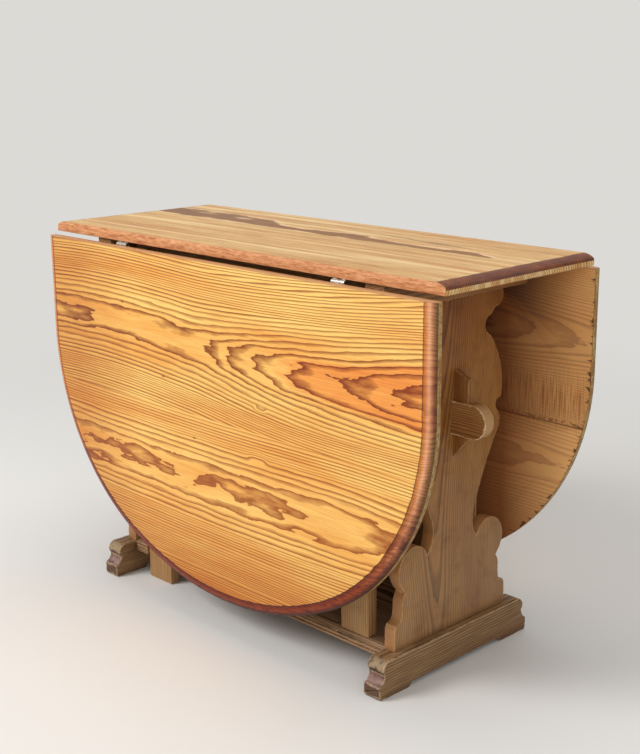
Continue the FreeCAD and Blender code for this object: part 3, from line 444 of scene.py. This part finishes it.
def leaf_wood(name, late, flame, cut, heart, knots):
    """Varnished flat-sawn pine: honey yellow under the varnish, glowing orange in its resinous heart."""
    wood = Wood(name, "XZY")
    add = wood.add
    wood.flame(**flame)
    wood.saw("#FBCF74", late, cut)
    wood.streaks(fibre=0.4, cloud=0.6, dark="#CC8E46", warm="#E8AC58")
    # Resin fills the rings that lie inside the heart's count.
    wood.tint((wood.count, heart, heart - 0.5), 0.6, "#F0A45E")
    for along, across in knots:
        wood.cover(wood.spot(along, across, 5, 2.2), 0.8, "#7A4316")
    # Painted shade: the foot of the leaf is darker and more orange, where less light reaches it.
    wood.tint((wood.axis["Z"], 250 * MM, 80 * MM), 0.85, "#CC9850")
    # Painted shade: the left end is darker and warmer, where the light falls off.
    wood.tint((wood.axis["X"], -230 * MM, -420 * MM), 0.85, "#DFC7B3")
    # The inner face is waxed, not varnished, so it is redder; it is also made paler, as painted light that
    # stands in for light the lamps bring short there. It is crossed by planer's chatter.
    behind = add(MATH, {0: wood.facing["Y"], 1: wood.axis["Y"]}, operation="MULTIPLY")
    behind = add(MATH, {0: behind, 1: -0.5 * LEAF_INNER}, operation="LESS_THAN")
    wood.cover(behind, 0.55, "#FCBE84")
    # Painted shade: the inner face darkens from its ends inwards, where the end panels and the top shade it.
    wood.tint((wood.out["X"], 480 * MM, 330 * MM), 1.0, "#A2867A", within=[behind])
    chatter = wood.flecks(wood.board, (330, 14, 0), 2)
    low_half = wood.between(wood.axis["Z"], LEAF_SEAM + 4 * MM, 500 * MM, 25 * MM)
    wood.tint((chatter, 0.45, 0.6), 0.55, "#A8744E", within=[low_half, behind])
    # Glue and dirt sit by the seam, where short splinters came away.
    torn = wood.flecks(wood.board, (120, 170, 0), 3, 0.6)
    near_seam = wood.between(wood.axis["Z"], LEAF_SEAM + 1 * MM, LEAF_SEAM + 7 * MM, 4 * MM)
    ragged = (torn, 0.46, 0.56)
    ragged = add(MATH, {0: ragged, 1: near_seam}, operation="MULTIPLY")
    line = wood.between(wood.axis["Z"], LEAF_SEAM - 1.2 * MM, LEAF_SEAM + 1.2 * MM, 1.0 * MM)
    seam = add(MATH, {0: ragged, 1: line}, operation="MAXIMUM")
    wood.cover(seam, 0.8, "#5A2A16", within=[behind])
    inside = stained_rim(wood)
    # The cutter tore short splinters out of the inner face along its edge.
    chips = wood.flecks(wood.board, (40, 120, 0), 4, 0.6)
    near_edge = (inside, 16 * MM, 1 * MM)
    chips = add(MATH, {0: near_edge, 1: 0.2, 2: chips}, operation="MULTIPLY_ADD")
    wood.cover((chips, 0.735, 0.76), 0.85, "#4A2012", within=[behind])
    wood.wear("#6A3C1C", 0.45)
    return wood.finish(roughness=0.5, coat=0.05)


def top_wood(name, cut, streak):
    """The fixed centre, pale straight-grained pine with a worn finish, stained at its moulded ends."""
    wood = Wood(name, "XYZ")
    add = wood.add
    wood.saw("#F4D08E", "#98682E", cut)
    wood.streaks(fibre=0.8, cloud=0.6, dark="#B4843F", warm="#E0B878")
    # Broad pink and pale bands follow the length.
    bands = wood.flecks(wood.board, (1.1, 55, 0), 2)
    wood.tint((bands, 0.5, 0.66), 0.4, "#D8A680")
    wood.cover((bands, 0.46, 0.36), 0.45, "#F8DCA4")
    if streak:
        heartwood_streak(wood)
    # Stain covers the moulded ends down to the foot of the moulding, with a brushed inner line.
    stray = add(NOISE, {"Vector": wood.point, "Scale": 60, "Detail": 3}, normalize=False)
    out = add(MATH, {0: stray, 1: 1.5 * MM, 2: wood.out["X"]}, operation="MULTIPLY_ADD")
    inner = HALF_LENGTH - MOULDING_WIDTH + 1.5 * MM
    end = (out, inner, inner + 1.5 * MM)
    moulding_foot = TABLE_HEIGHT - MOULDING_HEIGHT - 0.3 * MM
    above = add(MATH, {0: wood.axis["Z"], 1: moulding_foot}, operation="GREATER_THAN")
    deep = wood.patches(60, 0.3, 0.7, stretch=(1, 0.5, 1))
    deep = add(MIX, {0: 0.5, 2: deep, 3: wood.late})
    stops = [(0.0, "#945222"), (0.4, "#6A3216"), (0.9, "#3C1608")]
    wood.cover(end, 1.0, add(RAMP, {0: deep}, stops=stops), within=[above])
    # The long edges are salmon under their varnish, with short dark flecks.
    border = HALF_TOP_WIDTH - 0.9 * MM
    side = add(MATH, {0: wood.out["Y"], 1: border}, operation="GREATER_THAN")
    fleck = wood.flecks(wood.point, (45, 200, 300), 4, 0.7)
    stops = [(0.3, "#9C5A30"), (0.48, "#C88656"), (0.7, "#E6AC7C")]
    wood.cover(side, 1.0, add(RAMP, {0: fleck}, stops=stops))
    underside = TABLE_HEIGHT - TOP_THICKNESS + 1 * MM
    under = add(MATH, {0: wood.axis["Z"], 1: underside}, operation="LESS_THAN")
    wood.tint(under, 0.5, "#B89060")
    wood.wear("#A06C3E", 0.5)
    return wood.finish(roughness=0.5)


def heartwood_streak(wood):
    """Dull brown heartwood along the top's seam: broad at the left end, forked and thin at the right."""
    add = wood.add
    place = (wood.along, -HALF_LENGTH, HALF_LENGTH)
    upper = [
        (0, 0.8), (0.2, 0.79), (0.3, 0.74), (0.34, 0.56), (0.41, 0.32), (0.49, 0.32), (0.55, 0.46),
        (0.58, 0.46), (0.62, 0.3), (0.68, 0.24), (0.79, 0.24), (0.82, 0.3), (0.89, 0.12), (0.95, 0), (1, 0),
    ]
    lower = [(0, 0.13), (0.3, 0.11), (0.45, 0.06), (0.6, 0.02), (0.68, 0), (1, 0)]
    tongue = wood.flecks(wood.board, (11, 80, 0), 4, 0.6, normalize=False)
    ragged = add(MATH, {0: tongue, 1: 9 * MM, 2: wood.across}, operation="MULTIPLY_ADD")
    reach = {}
    for side, shape in (("upper", upper), ("lower", lower)):
        height = add(CURVE, {"Value": place}, points=shape)
        height = add(MATH, {0: height, 1: 100 * MM, 2: TOP_SEAM}, operation="MULTIPLY_ADD")
        reach[side] = add(MATH, {0: height, 1: ragged}, operation="SUBTRACT")
    under = add(MATH, {0: reach["lower"], 1: -1}, operation="MULTIPLY")
    depth = add(MATH, {0: reach["upper"], 1: under}, operation="MINIMUM")
    # A pale line of sapwood follows the border.
    pale = wood.between(depth, -9 * MM, -2 * MM, 2.5 * MM)
    wood.cover(pale, 0.55, "#F2CDA0")
    heart = (depth, -1.5 * MM, 1 * MM)
    thin = add(RANGE, {"Value": wood.fibre, "From Min": 0.3, "From Max": 0.55, "To Min": 0.8})
    tone = add(MIX, {0: place, 6: "#6C3C0C", 7: "#84500C"}, data_type="RGBA")
    wood.cover(heart, 0.95, tone, within=[thin])
    branch_line = add(MATH, {0: wood.along, 1: 0.08, 2: ragged}, operation="MULTIPLY_ADD")
    branch = wood.between(branch_line, 112 * MM, 124 * MM, 3 * MM)
    branch_end = wood.between(wood.along, 110 * MM, 330 * MM, 25 * MM)
    wood.cover(branch, 0.75, "#8E6438", within=[branch_end])
    for island in ((-262, 88, 26, 9), (-385, 92, 36, 4)):
        wood.cover(wood.spot(*island), 0.75, "#D8B083")


def panel_wood(name, flame, cut):
    """Waxed pine of the trestle: tan, darker and redder high up as painted shade under the top, greyer near
    the floor.
    """
    wood = Wood(name, "ZYX")
    wood.flame(**flame)
    wood.saw("#B4854A", "#80582C", cut)
    wood.streaks(fibre=0.5, cloud=0.55, dark="#B08D68", warm="#C79A70")
    # Painted shade: high up, under the top, the wood is darker and redder.
    wood.tint((wood.axis["Z"], 420 * MM, 700 * MM), 0.6, "#D29448")
    wood.cover((wood.axis["Z"], 420 * MM, 150 * MM), 0.2, "#A8967E")
    # The sawn edges of the scrolls took more wax.
    sawn = wood.add(MATH, {0: wood.facing["X"]}, operation="ABSOLUTE")
    sawn = wood.add(MATH, {0: sawn, 1: 0.6}, operation="LESS_THAN")
    wood.cover(sawn, 0.6, "#B07A48")
    # Grime lies in blotches, and along the joint with the foot.
    grime = wood.patches(30, 0.5, 0.7)
    foot_line = (wood.axis["Z"], FOOT_TOP + 14 * MM, FOOT_TOP)
    grime = wood.add(MATH, {0: grime, 1: foot_line}, operation="MAXIMUM")
    wood.tint(grime, 0.3, "#8C6C50")
    wood.wear("#C79A6A", 0.55)
    return wood.finish(roughness=0.55)


def foot_wood(name, cut):
    """Waxed pine near the floor: greyed by mops, its shaped ends knocked bare, with painted shade in the
    quirk.
    """
    wood = Wood(name, "YZX")
    add = wood.add
    wood.saw("#A6845A", "#664A30", cut)
    wood.streaks(fibre=0.8, cloud=0.5, dark="#94745A", warm="#C4A080")
    wood.tint((wood.axis["Z"], 14 * MM, 2 * MM), 0.6, "#8A6C54")
    end_face = add(MATH, {0: wood.facing["Y"]}, operation="ABSOLUTE")
    far = (wood.out["Y"], FOOT_END + 18 * MM, FOOT_END + 28 * MM)
    end_face = add(MATH, {0: (end_face, 0.15, 0.4), 1: far}, operation="MULTIPLY")
    scuff = add(NOISE, {"Vector": wood.point, "Scale": 70, "Detail": 4}, normalize=False)
    height = add(MATH, {0: scuff, 1: 4 * MM, 2: wood.axis["Z"]}, operation="MULTIPLY_ADD")
    # The end's colour follows the height of its moulded profile; the darkest band, in the quirk, is painted
    # shade.
    stops = [
        (0.0, "#32211A"), (0.1, "#5E4230"), (0.34, "#523A2E"), (0.44, "#94756C"),
        (0.58, "#6E4E48"), (0.65, "#2A1818"), (0.72, "#3C2822"), (0.8, "#9C8464"),
        (1.0, "#8E7658"),
    ]
    wood.cover(end_face, 0.9, add(RAMP, {0: (height, 0, FOOT_TOP)}, stops=stops))
    # Knocks broke small chips out of the end, and dirt filled them.
    chips = wood.patches(110, 0.54, 0.6)
    wood.cover(chips, 0.7, "#3E2A20", within=[end_face])
    wood.wear("#C0A07A", 0.6)
    return wood.finish(roughness=0.62)


def plain_wood(name, grain, early, late, cut, dark="#B49070", warm="#C8A080"):
    """A waxed or bare pine piece with its own log."""
    wood = Wood(name, grain)
    wood.saw(early, late, cut)
    wood.streaks(fibre=0.6, cloud=0.5, dark=dark, warm=warm)
    grime = wood.patches(30, 0.5, 0.75)
    wood.tint(grime, 0.3, "#A07C58")
    wood.wear("#C79A6A", 0.5)
    return wood.finish(roughness=0.6)


def tenon_wood(name, cut):
    """The stretcher: waxed pine, its rounded tenon ends rubbed pale by knees and hands."""
    wood = Wood(name, "XZY")
    wood.saw("#B58650", "#80582E", cut)
    wood.streaks(fibre=0.6, cloud=0.5, dark="#B49070", warm="#C8A080")
    far = (wood.out["X"], TENON_TIP - 32 * MM, TENON_TIP - 22 * MM)
    round_end = wood.add(MATH, {0: wood.facing["Y"]}, operation="ABSOLUTE")
    wood.cover((round_end, 0.9, 0.6), 0.35, "#D8B080", within=[far])
    wood.wear("#EACB9C", 0.9)
    return wood.finish(roughness=0.5)


def zinc_plated_steel(name, colour, roughness):
    """Zinc-plated steel: bright, a little uneven, dulled by handling."""
    material = new_material(name)
    add = partial(add_node, material.node_tree)
    point = add("ShaderNodeTexCoord").outputs["Object"]
    patches = add(NOISE, {"Vector": point, "Scale": 400, "Detail": 4})
    tone = add(RAMP, {0: patches}, stops=[(0.3, "#8E8A84"), (0.7, colour)])
    worn = add(RANGE, {"Value": patches, "To Min": roughness, "To Max": roughness + 0.2})
    bump = add("ShaderNodeBump", {"Strength": 0.3, "Distance": 0.05 * MM, "Height": patches})
    surface = {"Base Color": tone, "Metallic": 1.0, "Roughness": worn, "Normal": bump}
    add("ShaderNodeOutputMaterial", {"Surface": add("ShaderNodeBsdfPrincipled", surface)})
    return material


# ---------------------------------------------------------------- pieces


def body_of(name):
    """The body that a node belongs to."""
    return next(body for body, nodes in frame["record"]["behaviour"]["bodies"].items() if name in nodes)


def slot_of(name):
    """The material slot that the record gives a node."""
    return next(part["material_slot"] for part in frame["record"]["subparts"] if part["node"] == name)


def small_loops(edges, limit):
    """The edges that belong to small holes, found as chains of edges that stay within the limit."""
    chain_of = {}
    for edge in edges:
        merged = {edge}
        for vertex in edge.verts:
            merged |= chain_of.get(vertex, set())
        for member in merged:
            for vertex in member.verts:
                chain_of[vertex] = merged
    small = set()
    for chain in {id(chain): chain for chain in chain_of.values()}.values():
        places = [vertex.co for edge in chain for vertex in edge.verts]
        spread = [max(place[i] for place in places) - min(place[i] for place in places) for i in range(3)]
        if max(spread) < limit:
            small |= chain
    return small


def split_edges(edges, step):
    """Divides each edge into lengths of about one step, and gives all the lengths."""
    lengths = []
    for edge in edges:
        near, far = edge.verts
        for left in range(round(edge.calc_length() / step), 1, -1):
            near = bmesh.utils.edge_split(edge, near, 1 / left)[1]
            edge = next(part for part in near.link_edges if far in part.verts)
            lengths.append(next(part for part in near.link_edges if part != edge))
        lengths.append(edge)
    return lengths


def knock_back(places, rubbed, knocks, end_knocks):
    """Rubs some lengths of the arrises wider: moves each vertex away from the nearest of their places.

    Bites some 5 mm long come in runs of 17 mm, and widen an arris by up to knocks times its radius. End
    knocks are added to them towards the front and rear tips of a foot.
    """
    near = kdtree.KDTree(len(places))
    for i, place in enumerate(places):
        near.insert(place, i)
    near.balance()
    for vertex in rubbed:
        place = near.find(vertex.co)[0]
        runs = noise.noise(place * 60)
        bites = noise.noise(place * 210)
        bite = min(1.0, max(0.0, 0.15 + 1.3 * runs + 1.3 * bites))
        out = min(1.0, max(0.0, (abs(place.y) - FOOT_END) / (25 * MM)))
        vertex.co = place + (vertex.co - place) * (1 + (knocks + end_knocks * out) * bite)


def take_the_place_of(name, look, mesh):
    """Puts a mesh in the scene instead of a node, on the node's body."""
    piece = new_object(f"{look}_{name}", mesh)
    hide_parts(name)
    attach(piece, body_of(name))
    slot_of(name)


def ease(name, radius, material, seam=None, knocks=0.0, end_knocks=0.0):
    """Replaces a wooden node by a copy with its arrises rubbed round.

    The seam is an axis and a place on it: an edge in that glue seam stays crisp, and so does a hole's.
    """
    shape = bmesh.new()
    shape.from_mesh(frame["nodes"][name].data)
    bmesh.ops.remove_doubles(shape, verts=shape.verts, dist=WELD)
    bmesh.ops.dissolve_limit(shape, angle_limit=FLAT_ANGLE, verts=shape.verts, edges=shape.edges)
    arrises = [edge for edge in shape.edges if edge.is_manifold and edge.calc_face_angle() > ARRIS_ANGLE]
    if seam:
        axis, place = seam
        arrises = [e for e in arrises if any(abs(v.co[axis] - place) > SEAM_REACH for v in e.verts)]
    holes = small_loops(arrises, HOLE_SIZE)
    arrises = [edge for edge in arrises if edge not in holes]
    if knocks:
        arrises = split_edges(arrises, BITE_STEP)
    ends = dict.fromkeys(vertex for edge in arrises for vertex in edge.verts)
    places = [vertex.co.copy() for vertex in ends]
    worn = shape.faces.layers.float.new("worn")
    made = bmesh.ops.bevel(
        shape, geom=arrises, offset=radius, offset_type="OFFSET", segments=2, profile=0.5, affect="EDGES",
        clamp_overlap=False,
    )
    for face in made["faces"]:
        face[worn] = 1
    if knocks:
        knock_back(places, made["verts"], knocks, end_knocks)
    bmesh.ops.triangulate(shape, faces=shape.faces)
    for face in shape.faces:
        face.smooth = True
    mesh = bpy.data.meshes.new(f"eased_{name}")
    shape.to_mesh(mesh)
    shape.free()
    mesh.set_sharp_from_angle(angle=CREASE_ANGLE)
    mesh.materials.append(material)
    take_the_place_of(name, "eased", mesh)


def paint(material, name):
    """Gives a material to a node."""
    mesh = frame["nodes"][name].data
    mesh.materials.clear()
    mesh.materials.append(material)


def separate_solids(name):
    """The lowest and highest corner of each separate solid of a node."""
    shape = bmesh.new()
    shape.from_mesh(frame["nodes"][name].data)
    bmesh.ops.remove_doubles(shape, verts=shape.verts, dist=WELD)
    left = set(shape.verts)
    boxes = []
    for start in shape.verts:
        if start not in left:
            continue
        left.remove(start)
        found = []
        waiting = [start]
        while waiting:
            vertex = waiting.pop()
            found.append(vertex.co.copy())
            for edge in vertex.link_edges:
                other = edge.other_vert(vertex)
                if other in left:
                    left.remove(other)
                    waiting.append(other)
        boxes.append([Vector(pick(place[i] for place in found) for i in range(3)) for pick in (min, max)])
    shape.free()
    return boxes


def slotted_screw_tree():
    """Countersunk screws with a slot across the head, one on each point, each turned by chance."""
    tree, given = new_group(
        "slotted_screws",
        "GeometryNodeTree",
        {
            "Points": ("Geometry", None),
            "Head Radius": ("Float", 3.8 * MM),
            "Shank Radius": ("Float", 2 * MM),
            "Head Height": ("Float", 2 * MM),
            "Length": ("Float", 14 * MM),
            "Slot Width": ("Float", 0.9 * MM),
            "Slot Depth": ("Float", 1.0 * MM),
            "Axis": ("Vector", (0, 0, 1)),
            "Seed": ("Int", 1),
            "Material": ("Material", None),
        },
        {"Screws": "Geometry"},
    )
    add = partial(add_node, tree)
    cone = {"Vertices": 20, "Radius Top": given["Shank Radius"], "Radius Bottom": given["Head Radius"]}
    head = add("GeometryNodeMeshCone", {**cone, "Depth": given["Head Height"]})
    long_side = add(MATH, {0: given["Head Radius"], 1: 3}, operation="MULTIPLY")
    twice = add(MATH, {0: given["Slot Depth"], 1: 2}, operation="MULTIPLY")
    size = add("ShaderNodeCombineXYZ", {0: given["Slot Width"], 1: long_side, 2: twice})
    bar = add("GeometryNodeMeshCube", {"Size": size})
    solids = {0: head.outputs["Mesh"], 1: bar.outputs["Mesh"]}
    slotted = add("GeometryNodeMeshBoolean", solids, operation="DIFFERENCE")
    rest = add(MATH, {0: given["Length"], 1: given["Head Height"]}, operation="SUBTRACT")
    rod = {"Vertices": 12, "Radius": given["Shank Radius"], "Depth": rest}
    shank = add("GeometryNodeMeshCylinder", rod)
    middle = add(MATH, {0: given["Length"], 1: given["Head Height"]}, operation="ADD")
    middle = add(MATH, {0: middle, 1: 0.5}, operation="MULTIPLY")
    lift = add("ShaderNodeCombineXYZ", {2: middle})
    shank = add("GeometryNodeTransform", {"Geometry": shank.outputs["Mesh"], "Translation": lift})
    screw = add("GeometryNodeJoinGeometry")
    tree.links.new(slotted.outputs["Mesh"], screw.inputs[0])
    tree.links.new(shank.outputs["Geometry"], screw.inputs[0])
    aim = add("FunctionNodeAlignRotationToVector", {"Vector": given["Axis"]}, axis="Z")
    chance = {"Max": (0, 0, 2 * math.pi), "Seed": given["Seed"]}
    spin = add("FunctionNodeRandomValue", chance, data_type="FLOAT_VECTOR")
    spin = add("FunctionNodeEulerToRotation", {0: spin})
    turn = add("FunctionNodeRotateRotation", {0: aim, 1: spin}, rotation_space="LOCAL")
    copies = {"Points": given["Points"], "Instance": screw.outputs[0], "Rotation": turn}
    placed = add("GeometryNodeInstanceOnPoints", copies)
    real = add("GeometryNodeRealizeInstances", {"Geometry": placed})
    dressed = add("GeometryNodeSetMaterial", {"Geometry": real, "Material": given["Material"]})
    add("NodeGroupOutput", {"Screws": dressed})
    return tree


def drive_screws(tree, name, axis, material, seed):
    """Puts a slotted screw in the place of each plain one of a node."""
    axis = Vector(axis)
    heads = []
    for low, high in separate_solids(name):
        centre = (low + high) / 2
        length = abs((high - low).dot(axis))
        heads.append(centre - axis * (length / 2))
    mesh = bpy.data.meshes.new(f"slotted_{name}")
    mesh.from_pydata(heads, [], [])
    maker = new_object(f"maker_{name}", mesh)
    modifier = maker.modifiers.new("screws", "NODES")
    modifier.node_group = tree
    sockets = {item.name: item.identifier for item in tree.interface.items_tree if item.in_out == "INPUT"}
    for label, value in (("Length", length), ("Axis", axis), ("Seed", seed), ("Material", material)):
        modifier[sockets[label]] = value
    evaluated = maker.evaluated_get(bpy.context.evaluated_depsgraph_get())
    screws = bpy.data.meshes.new_from_object(evaluated)
    bpy.data.objects.remove(maker)
    take_the_place_of(name, "slotted", screws)


# ---------------------------------------------------------------- the table's own boards


def log_cut(seed, ring, depth=60, across=0, crown=0, wander=6, jag=0.2, bunching=0.4):
    """How a board lies in its log: the width of its rings and the place of the pith, in millimetres."""
    return {
        "Ring Width": ring * MM,
        "Pith Depth": depth * MM,
        "Pith Across": across * MM,
        "Crown": crown * MM,
        "Wander": wander * MM,
        "Jag": jag,
        "Bunching": bunching,
        "Seed": seed,
    }


def dress_leaves():
    """Four boards: each leaf has an upper and a lower plank."""
    planks = {
        "front_leaf_upper_plank": {
            "late": "#92500E",
            "flame": {
                "level": 550,
                "swing": (1100, 11, 3.57),
                "lead": 0.22,
                "start": -38,
                "rings_per_metre": 11.0,
                "swells": [
                    (-520, 557, 175, 24, -0.6),
                    (-110, 568, 50, 11, 0.36),
                    (-275, 537, 110, 9, 0.3),
                    (180, 550, 150, 60, -0.6),
                    (570, 550, 95, 60, 0.5),
                    (124, 462, 16, 6, -0.8),
                ],
            },
            "cut": log_cut(41, 3.8, depth=-99, crown=18, wander=4, jag=0.4, bunching=1.0),
            "heart": -2.6,
            "knots": [(-148, 474), (-268, 600)],
        },
        "front_leaf_lower_plank": {
            "late": "#A8641E",
            "flame": {
                "level": 297,
                "swing": (1700, 4.5, -1.57),
                "lead": 0.16,
                "start": 330,
                "rings_per_metre": -6.0,
                "swells": [
                    (-275, 312, 75, 15, -0.4),
                    (-195, 298, 85, 14, -0.4),
                    (-355, 274, 60, 11, 0.5),
                    (60, 304, 110, 16, -0.4),
                    (140, 292, 100, 24, -0.3),
                    (230, 267, 70, 7, 0.4),
                    (114, 372, 24, 13, -0.7),
                ],
            },
            "cut": log_cut(22, 4, depth=-99, crown=26, wander=4, jag=0.42, bunching=1.0),
            "heart": NO_HEART,
            "knots": [(-60, 372)],
        },
        "rear_leaf_upper_plank": {
            "late": "#8A4A12",
            "flame": {
                "level": 580,
                "swing": (1400, 6, 1.6),
                "lead": -1.96,
                "start": 200,
                "rings_per_metre": -10.0,
            },
            "cut": log_cut(3, 2.6, depth=79, crown=16, wander=5, jag=0.3, bunching=0.9),
            "heart": NO_HEART,
            "knots": [(-300, 520)],
        },
        "rear_leaf_lower_plank": {
            "late": "#A8702C",
            "flame": {
                "level": 325,
                "swing": (1500, 14, 0.3),
                "lead": 0.1,
                "start": 200,
                "rings_per_metre": -4.0,
            },
            "cut": log_cut(4, 3.2, depth=79, crown=20, wander=5, jag=0.35, bunching=0.9),
            "heart": NO_HEART,
            "knots": [],
        },
    }
    for name, plank in planks.items():
        ease(name, 0.5 * MM, leaf_wood(f"varnished_pine_{name}", **plank), seam=(2, LEAF_SEAM))


def dress_top():
    """The front plank of the centre, and the rear one with its heartwood streak."""
    front = top_wood("worn_pine_top_front", log_cut(5, 4.4, across=-400, depth=500, wander=9), streak=False)
    rear = top_wood("worn_pine_top_rear", log_cut(6, 5, across=330, depth=520, wander=12), streak=True)
    ease("top_front_plank", 0.8 * MM, front, seam=(1, TOP_SEAM))
    ease("top_rear_plank", 0.8 * MM, rear, seam=(1, TOP_SEAM))


def dress_trestle():
    """Ends, feet, keys and bearers, then the shelf and the stretcher."""
    for end, sign, rings_per_metre in (("right", 1, 9.0), ("left", -1, 5.0)):
        flame = {
            "level": -48 * sign,
            "swing": (600, 8, 1.2),
            "lead": 0.0,
            "start": 20,
            "rings_per_metre": rings_per_metre,
        }
        panel = panel_wood(f"waxed_pine_{end}_panel", flame, log_cut(7 + sign, 3.6, depth=315 * sign))
        ease(f"{end}_end_panel", 1.3 * MM, panel, knocks=1.3)
        cut = log_cut(10 + sign, 3.2, across=120, depth=300 * sign, wander=5)
        foot = foot_wood(f"waxed_pine_{end}_foot", cut)
        ease(f"{end}_foot", 1.8 * MM, foot, knocks=0.5, end_knocks=1.1)
        cut = log_cut(13 + sign, 3, across=330 * sign, depth=40, wander=3)
        key = plain_wood(f"waxed_pine_{end}_key", "ZXY", "#A87840", "#7E5228", cut)
        ease(f"{end}_stretcher_key", 1.0 * MM, key)
        cut = log_cut(16 + sign, 4, across=640, depth=300 * sign, wander=5)
        bearer = plain_wood(f"waxed_pine_{end}_bearer", "YZX", "#A87C4C", "#75502C", cut)
        ease(f"{end}_bearer", 1.0 * MM, bearer)
    cut = log_cut(19, 4, across=20, depth=-40, wander=8)
    ease("shelf", 1.0 * MM, plain_wood("waxed_pine_shelf", "XYZ", "#AC8A66", "#573C28", cut), knocks=2.2)
    cut = log_cut(20, 3, across=420, depth=30, wander=4)
    ease("stretcher", 1.4 * MM, tenon_wood("waxed_pine_stretcher", cut), knocks=1.5)


def dress_gates():
    """Posts, rails and stop blocks of both gates, in pine that was never waxed."""
    early = "#BA9462"
    late = "#865F36"
    handled = {"dark": "#C4A07C", "warm": "#D0AC88"}
    for face, sign in (("front", -1), ("rear", 1)):
        for i, post in enumerate(("pivot_post", "swing_post")):
            cut = log_cut(21 + i + sign, 3.6, across=200, depth=200 * sign)
            wood = plain_wood(f"bare_pine_{face}_{post}", "ZXY", early, late, cut, **handled)
            ease(f"{face}_gate_{post}", 1.2 * MM, wood, knocks=0.8)
        for i, rail in enumerate(("top_rail", "low_rail")):
            cut = log_cut(25 + i + sign, 4, across=420, depth=40 * sign)
            wood = plain_wood(f"bare_pine_{face}_{rail}", "XZY", early, late, cut, **handled)
            ease(f"{face}_gate_{rail}", 1.0 * MM, wood)
        cut = log_cut(29 + sign, 3, across=150, depth=190 * sign, wander=3)
        block = plain_wood(f"bare_pine_{face}_block", "XZY", early, late, cut)
        ease(f"{face}_leaf_stop_block", 0.8 * MM, block)


def dress_fixings():
    """Hinges and pins in zinc-plated steel, dowels in plain wood, and slotted screws."""
    steel = zinc_plated_steel("zinc_plated_hinge", "#D8D4CC", 0.26)
    pin_steel = zinc_plated_steel("drawn_steel_pin", "#C8C6C2", 0.2)
    screw_steel = zinc_plated_steel("zinc_plated_screw", "#CFCBC2", 0.3)
    dowel = plain_wood("turned_dowel", "ZXY", "#D0AC7C", "#A27C50", log_cut(33, 2.5, across=40, wander=2))
    for name in frame["nodes"]:
        if name.endswith("hinge_pin"):
            paint(pin_steel, name)
        elif "hinge" in name:
            paint(steel, name)
        elif "dowels" in name or name.endswith("_pin"):
            paint(dowel, name)
    tree = slotted_screw_tree()
    axes = {"bearer_screws": (0, 0, 1)}
    for face, inward in (("front", -1), ("rear", 1)):
        axes[f"{face}_top_flap_screws"] = (0, 0, 1)
        axes[f"{face}_leaf_flap_screws"] = (0, inward, 0)
        axes[f"{face}_leaf_stop_screws"] = (0, inward, 0)
    for seed, (name, axis) in enumerate(axes.items()):
        drive_screws(tree, name, axis, screw_steel, seed)


# ---------------------------------------------------------------- studio


def pale_studio():
    """A pale floor that melts into a pale backdrop, three soft lamps and an even sky."""
    backdrop = {"Color": "#DCDAD6", "Strength": 1.0}
    bpy.ops.mesh.primitive_plane_add(size=40, location=(0, 0, 0))
    floor = bpy.context.object
    floor.name = "floor"
    material = new_material("pale_floor")
    add = partial(add_node, material.node_tree)
    shader = add("ShaderNodeBsdfPrincipled", {"Base Color": "#E0DEDA", "Roughness": 0.9})
    glow = add("ShaderNodeEmission", backdrop)
    point = add("ShaderNodeTexCoord").outputs["Object"]
    reach = add(VECTOR, {0: point}, operation="LENGTH")
    melt = {"Value": reach, "From Min": 1.0, "From Max": 2.6}
    far = add(RANGE, melt, interpolation_type="SMOOTHSTEP")
    far = add(MATH, {0: far, 1: pale_rays(material.node_tree)}, operation="MULTIPLY")
    mixed = add("ShaderNodeMixShader", {0: far, 1: shader, 2: glow})
    add("ShaderNodeOutputMaterial", {"Surface": mixed})
    floor.data.materials.append(material)
    world = bpy.data.worlds.new("studio")
    bpy.context.scene.world = world
    world.use_nodes = True
    world.node_tree.nodes.clear()
    add = partial(add_node, world.node_tree)
    sky = add("ShaderNodeBackground", {"Color": "#F4F4F4", "Strength": 0.45})
    shown = add("ShaderNodeBackground", backdrop)
    mixed = add("ShaderNodeMixShader", {0: pale_rays(world.node_tree), 1: sky, 2: shown})
    add("ShaderNodeOutputWorld", {"Surface": mixed})
    for name, place, size, power in (
        ("window", (-2.2, -4.2, 3.8), 2.4, 222),
        ("fill", (2.9, -2.4, 2.0), 2.0, 30),
        ("ceiling", (0.2, 0.6, 4.4), 3.0, 55),
    ):
        lamp = bpy.data.lights.new(name, "AREA")
        lamp.size = size
        lamp.energy = power
        holder = new_object(name, lamp)
        holder.location = place
        aim = Vector((0, 0, 0.45)) - Vector(place)
        holder.rotation_euler = aim.to_track_quat("-Z", "Y").to_euler()


def pale_rays(tree):
    """1 for the rays that show the backdrop: straight to the camera, or by way of metal or glass."""
    rays = add_node(tree, "ShaderNodeLightPath").outputs
    seen = add_node(tree, MATH, {0: rays["Is Camera Ray"], 1: rays["Is Glossy Ray"]}, operation="MAXIMUM")
    return add_node(tree, MATH, {0: seen, 1: rays["Is Transmission Ray"]}, operation="MAXIMUM")


def stand_the_camera():
    """A camera that looks down on the table's right front corner."""
    camera = bpy.data.cameras.new("camera")
    camera.lens = LENS_MM
    holder = new_object("camera", camera)
    flat = math.cos(CAMERA_PITCH)
    ahead = Vector((math.sin(CAMERA_YAW) * flat, math.cos(CAMERA_YAW) * flat, -math.sin(CAMERA_PITCH)))
    level = Vector((math.cos(CAMERA_YAW), -math.sin(CAMERA_YAW), 0))
    above = level.cross(ahead)
    right = level * math.cos(CAMERA_ROLL) + above * math.sin(CAMERA_ROLL)
    up = right.cross(ahead)
    turn = Matrix((right, up, -ahead)).transposed().to_4x4()
    holder.matrix_world = Matrix.Translation(CAMERA_PLACE) @ turn
    bpy.context.scene.camera = holder


dress_leaves()
dress_top()
dress_trestle()
dress_gates()
dress_fixings()
pale_studio()
stand_the_camera()
bpy.context.scene.view_settings.view_transform = "Standard"
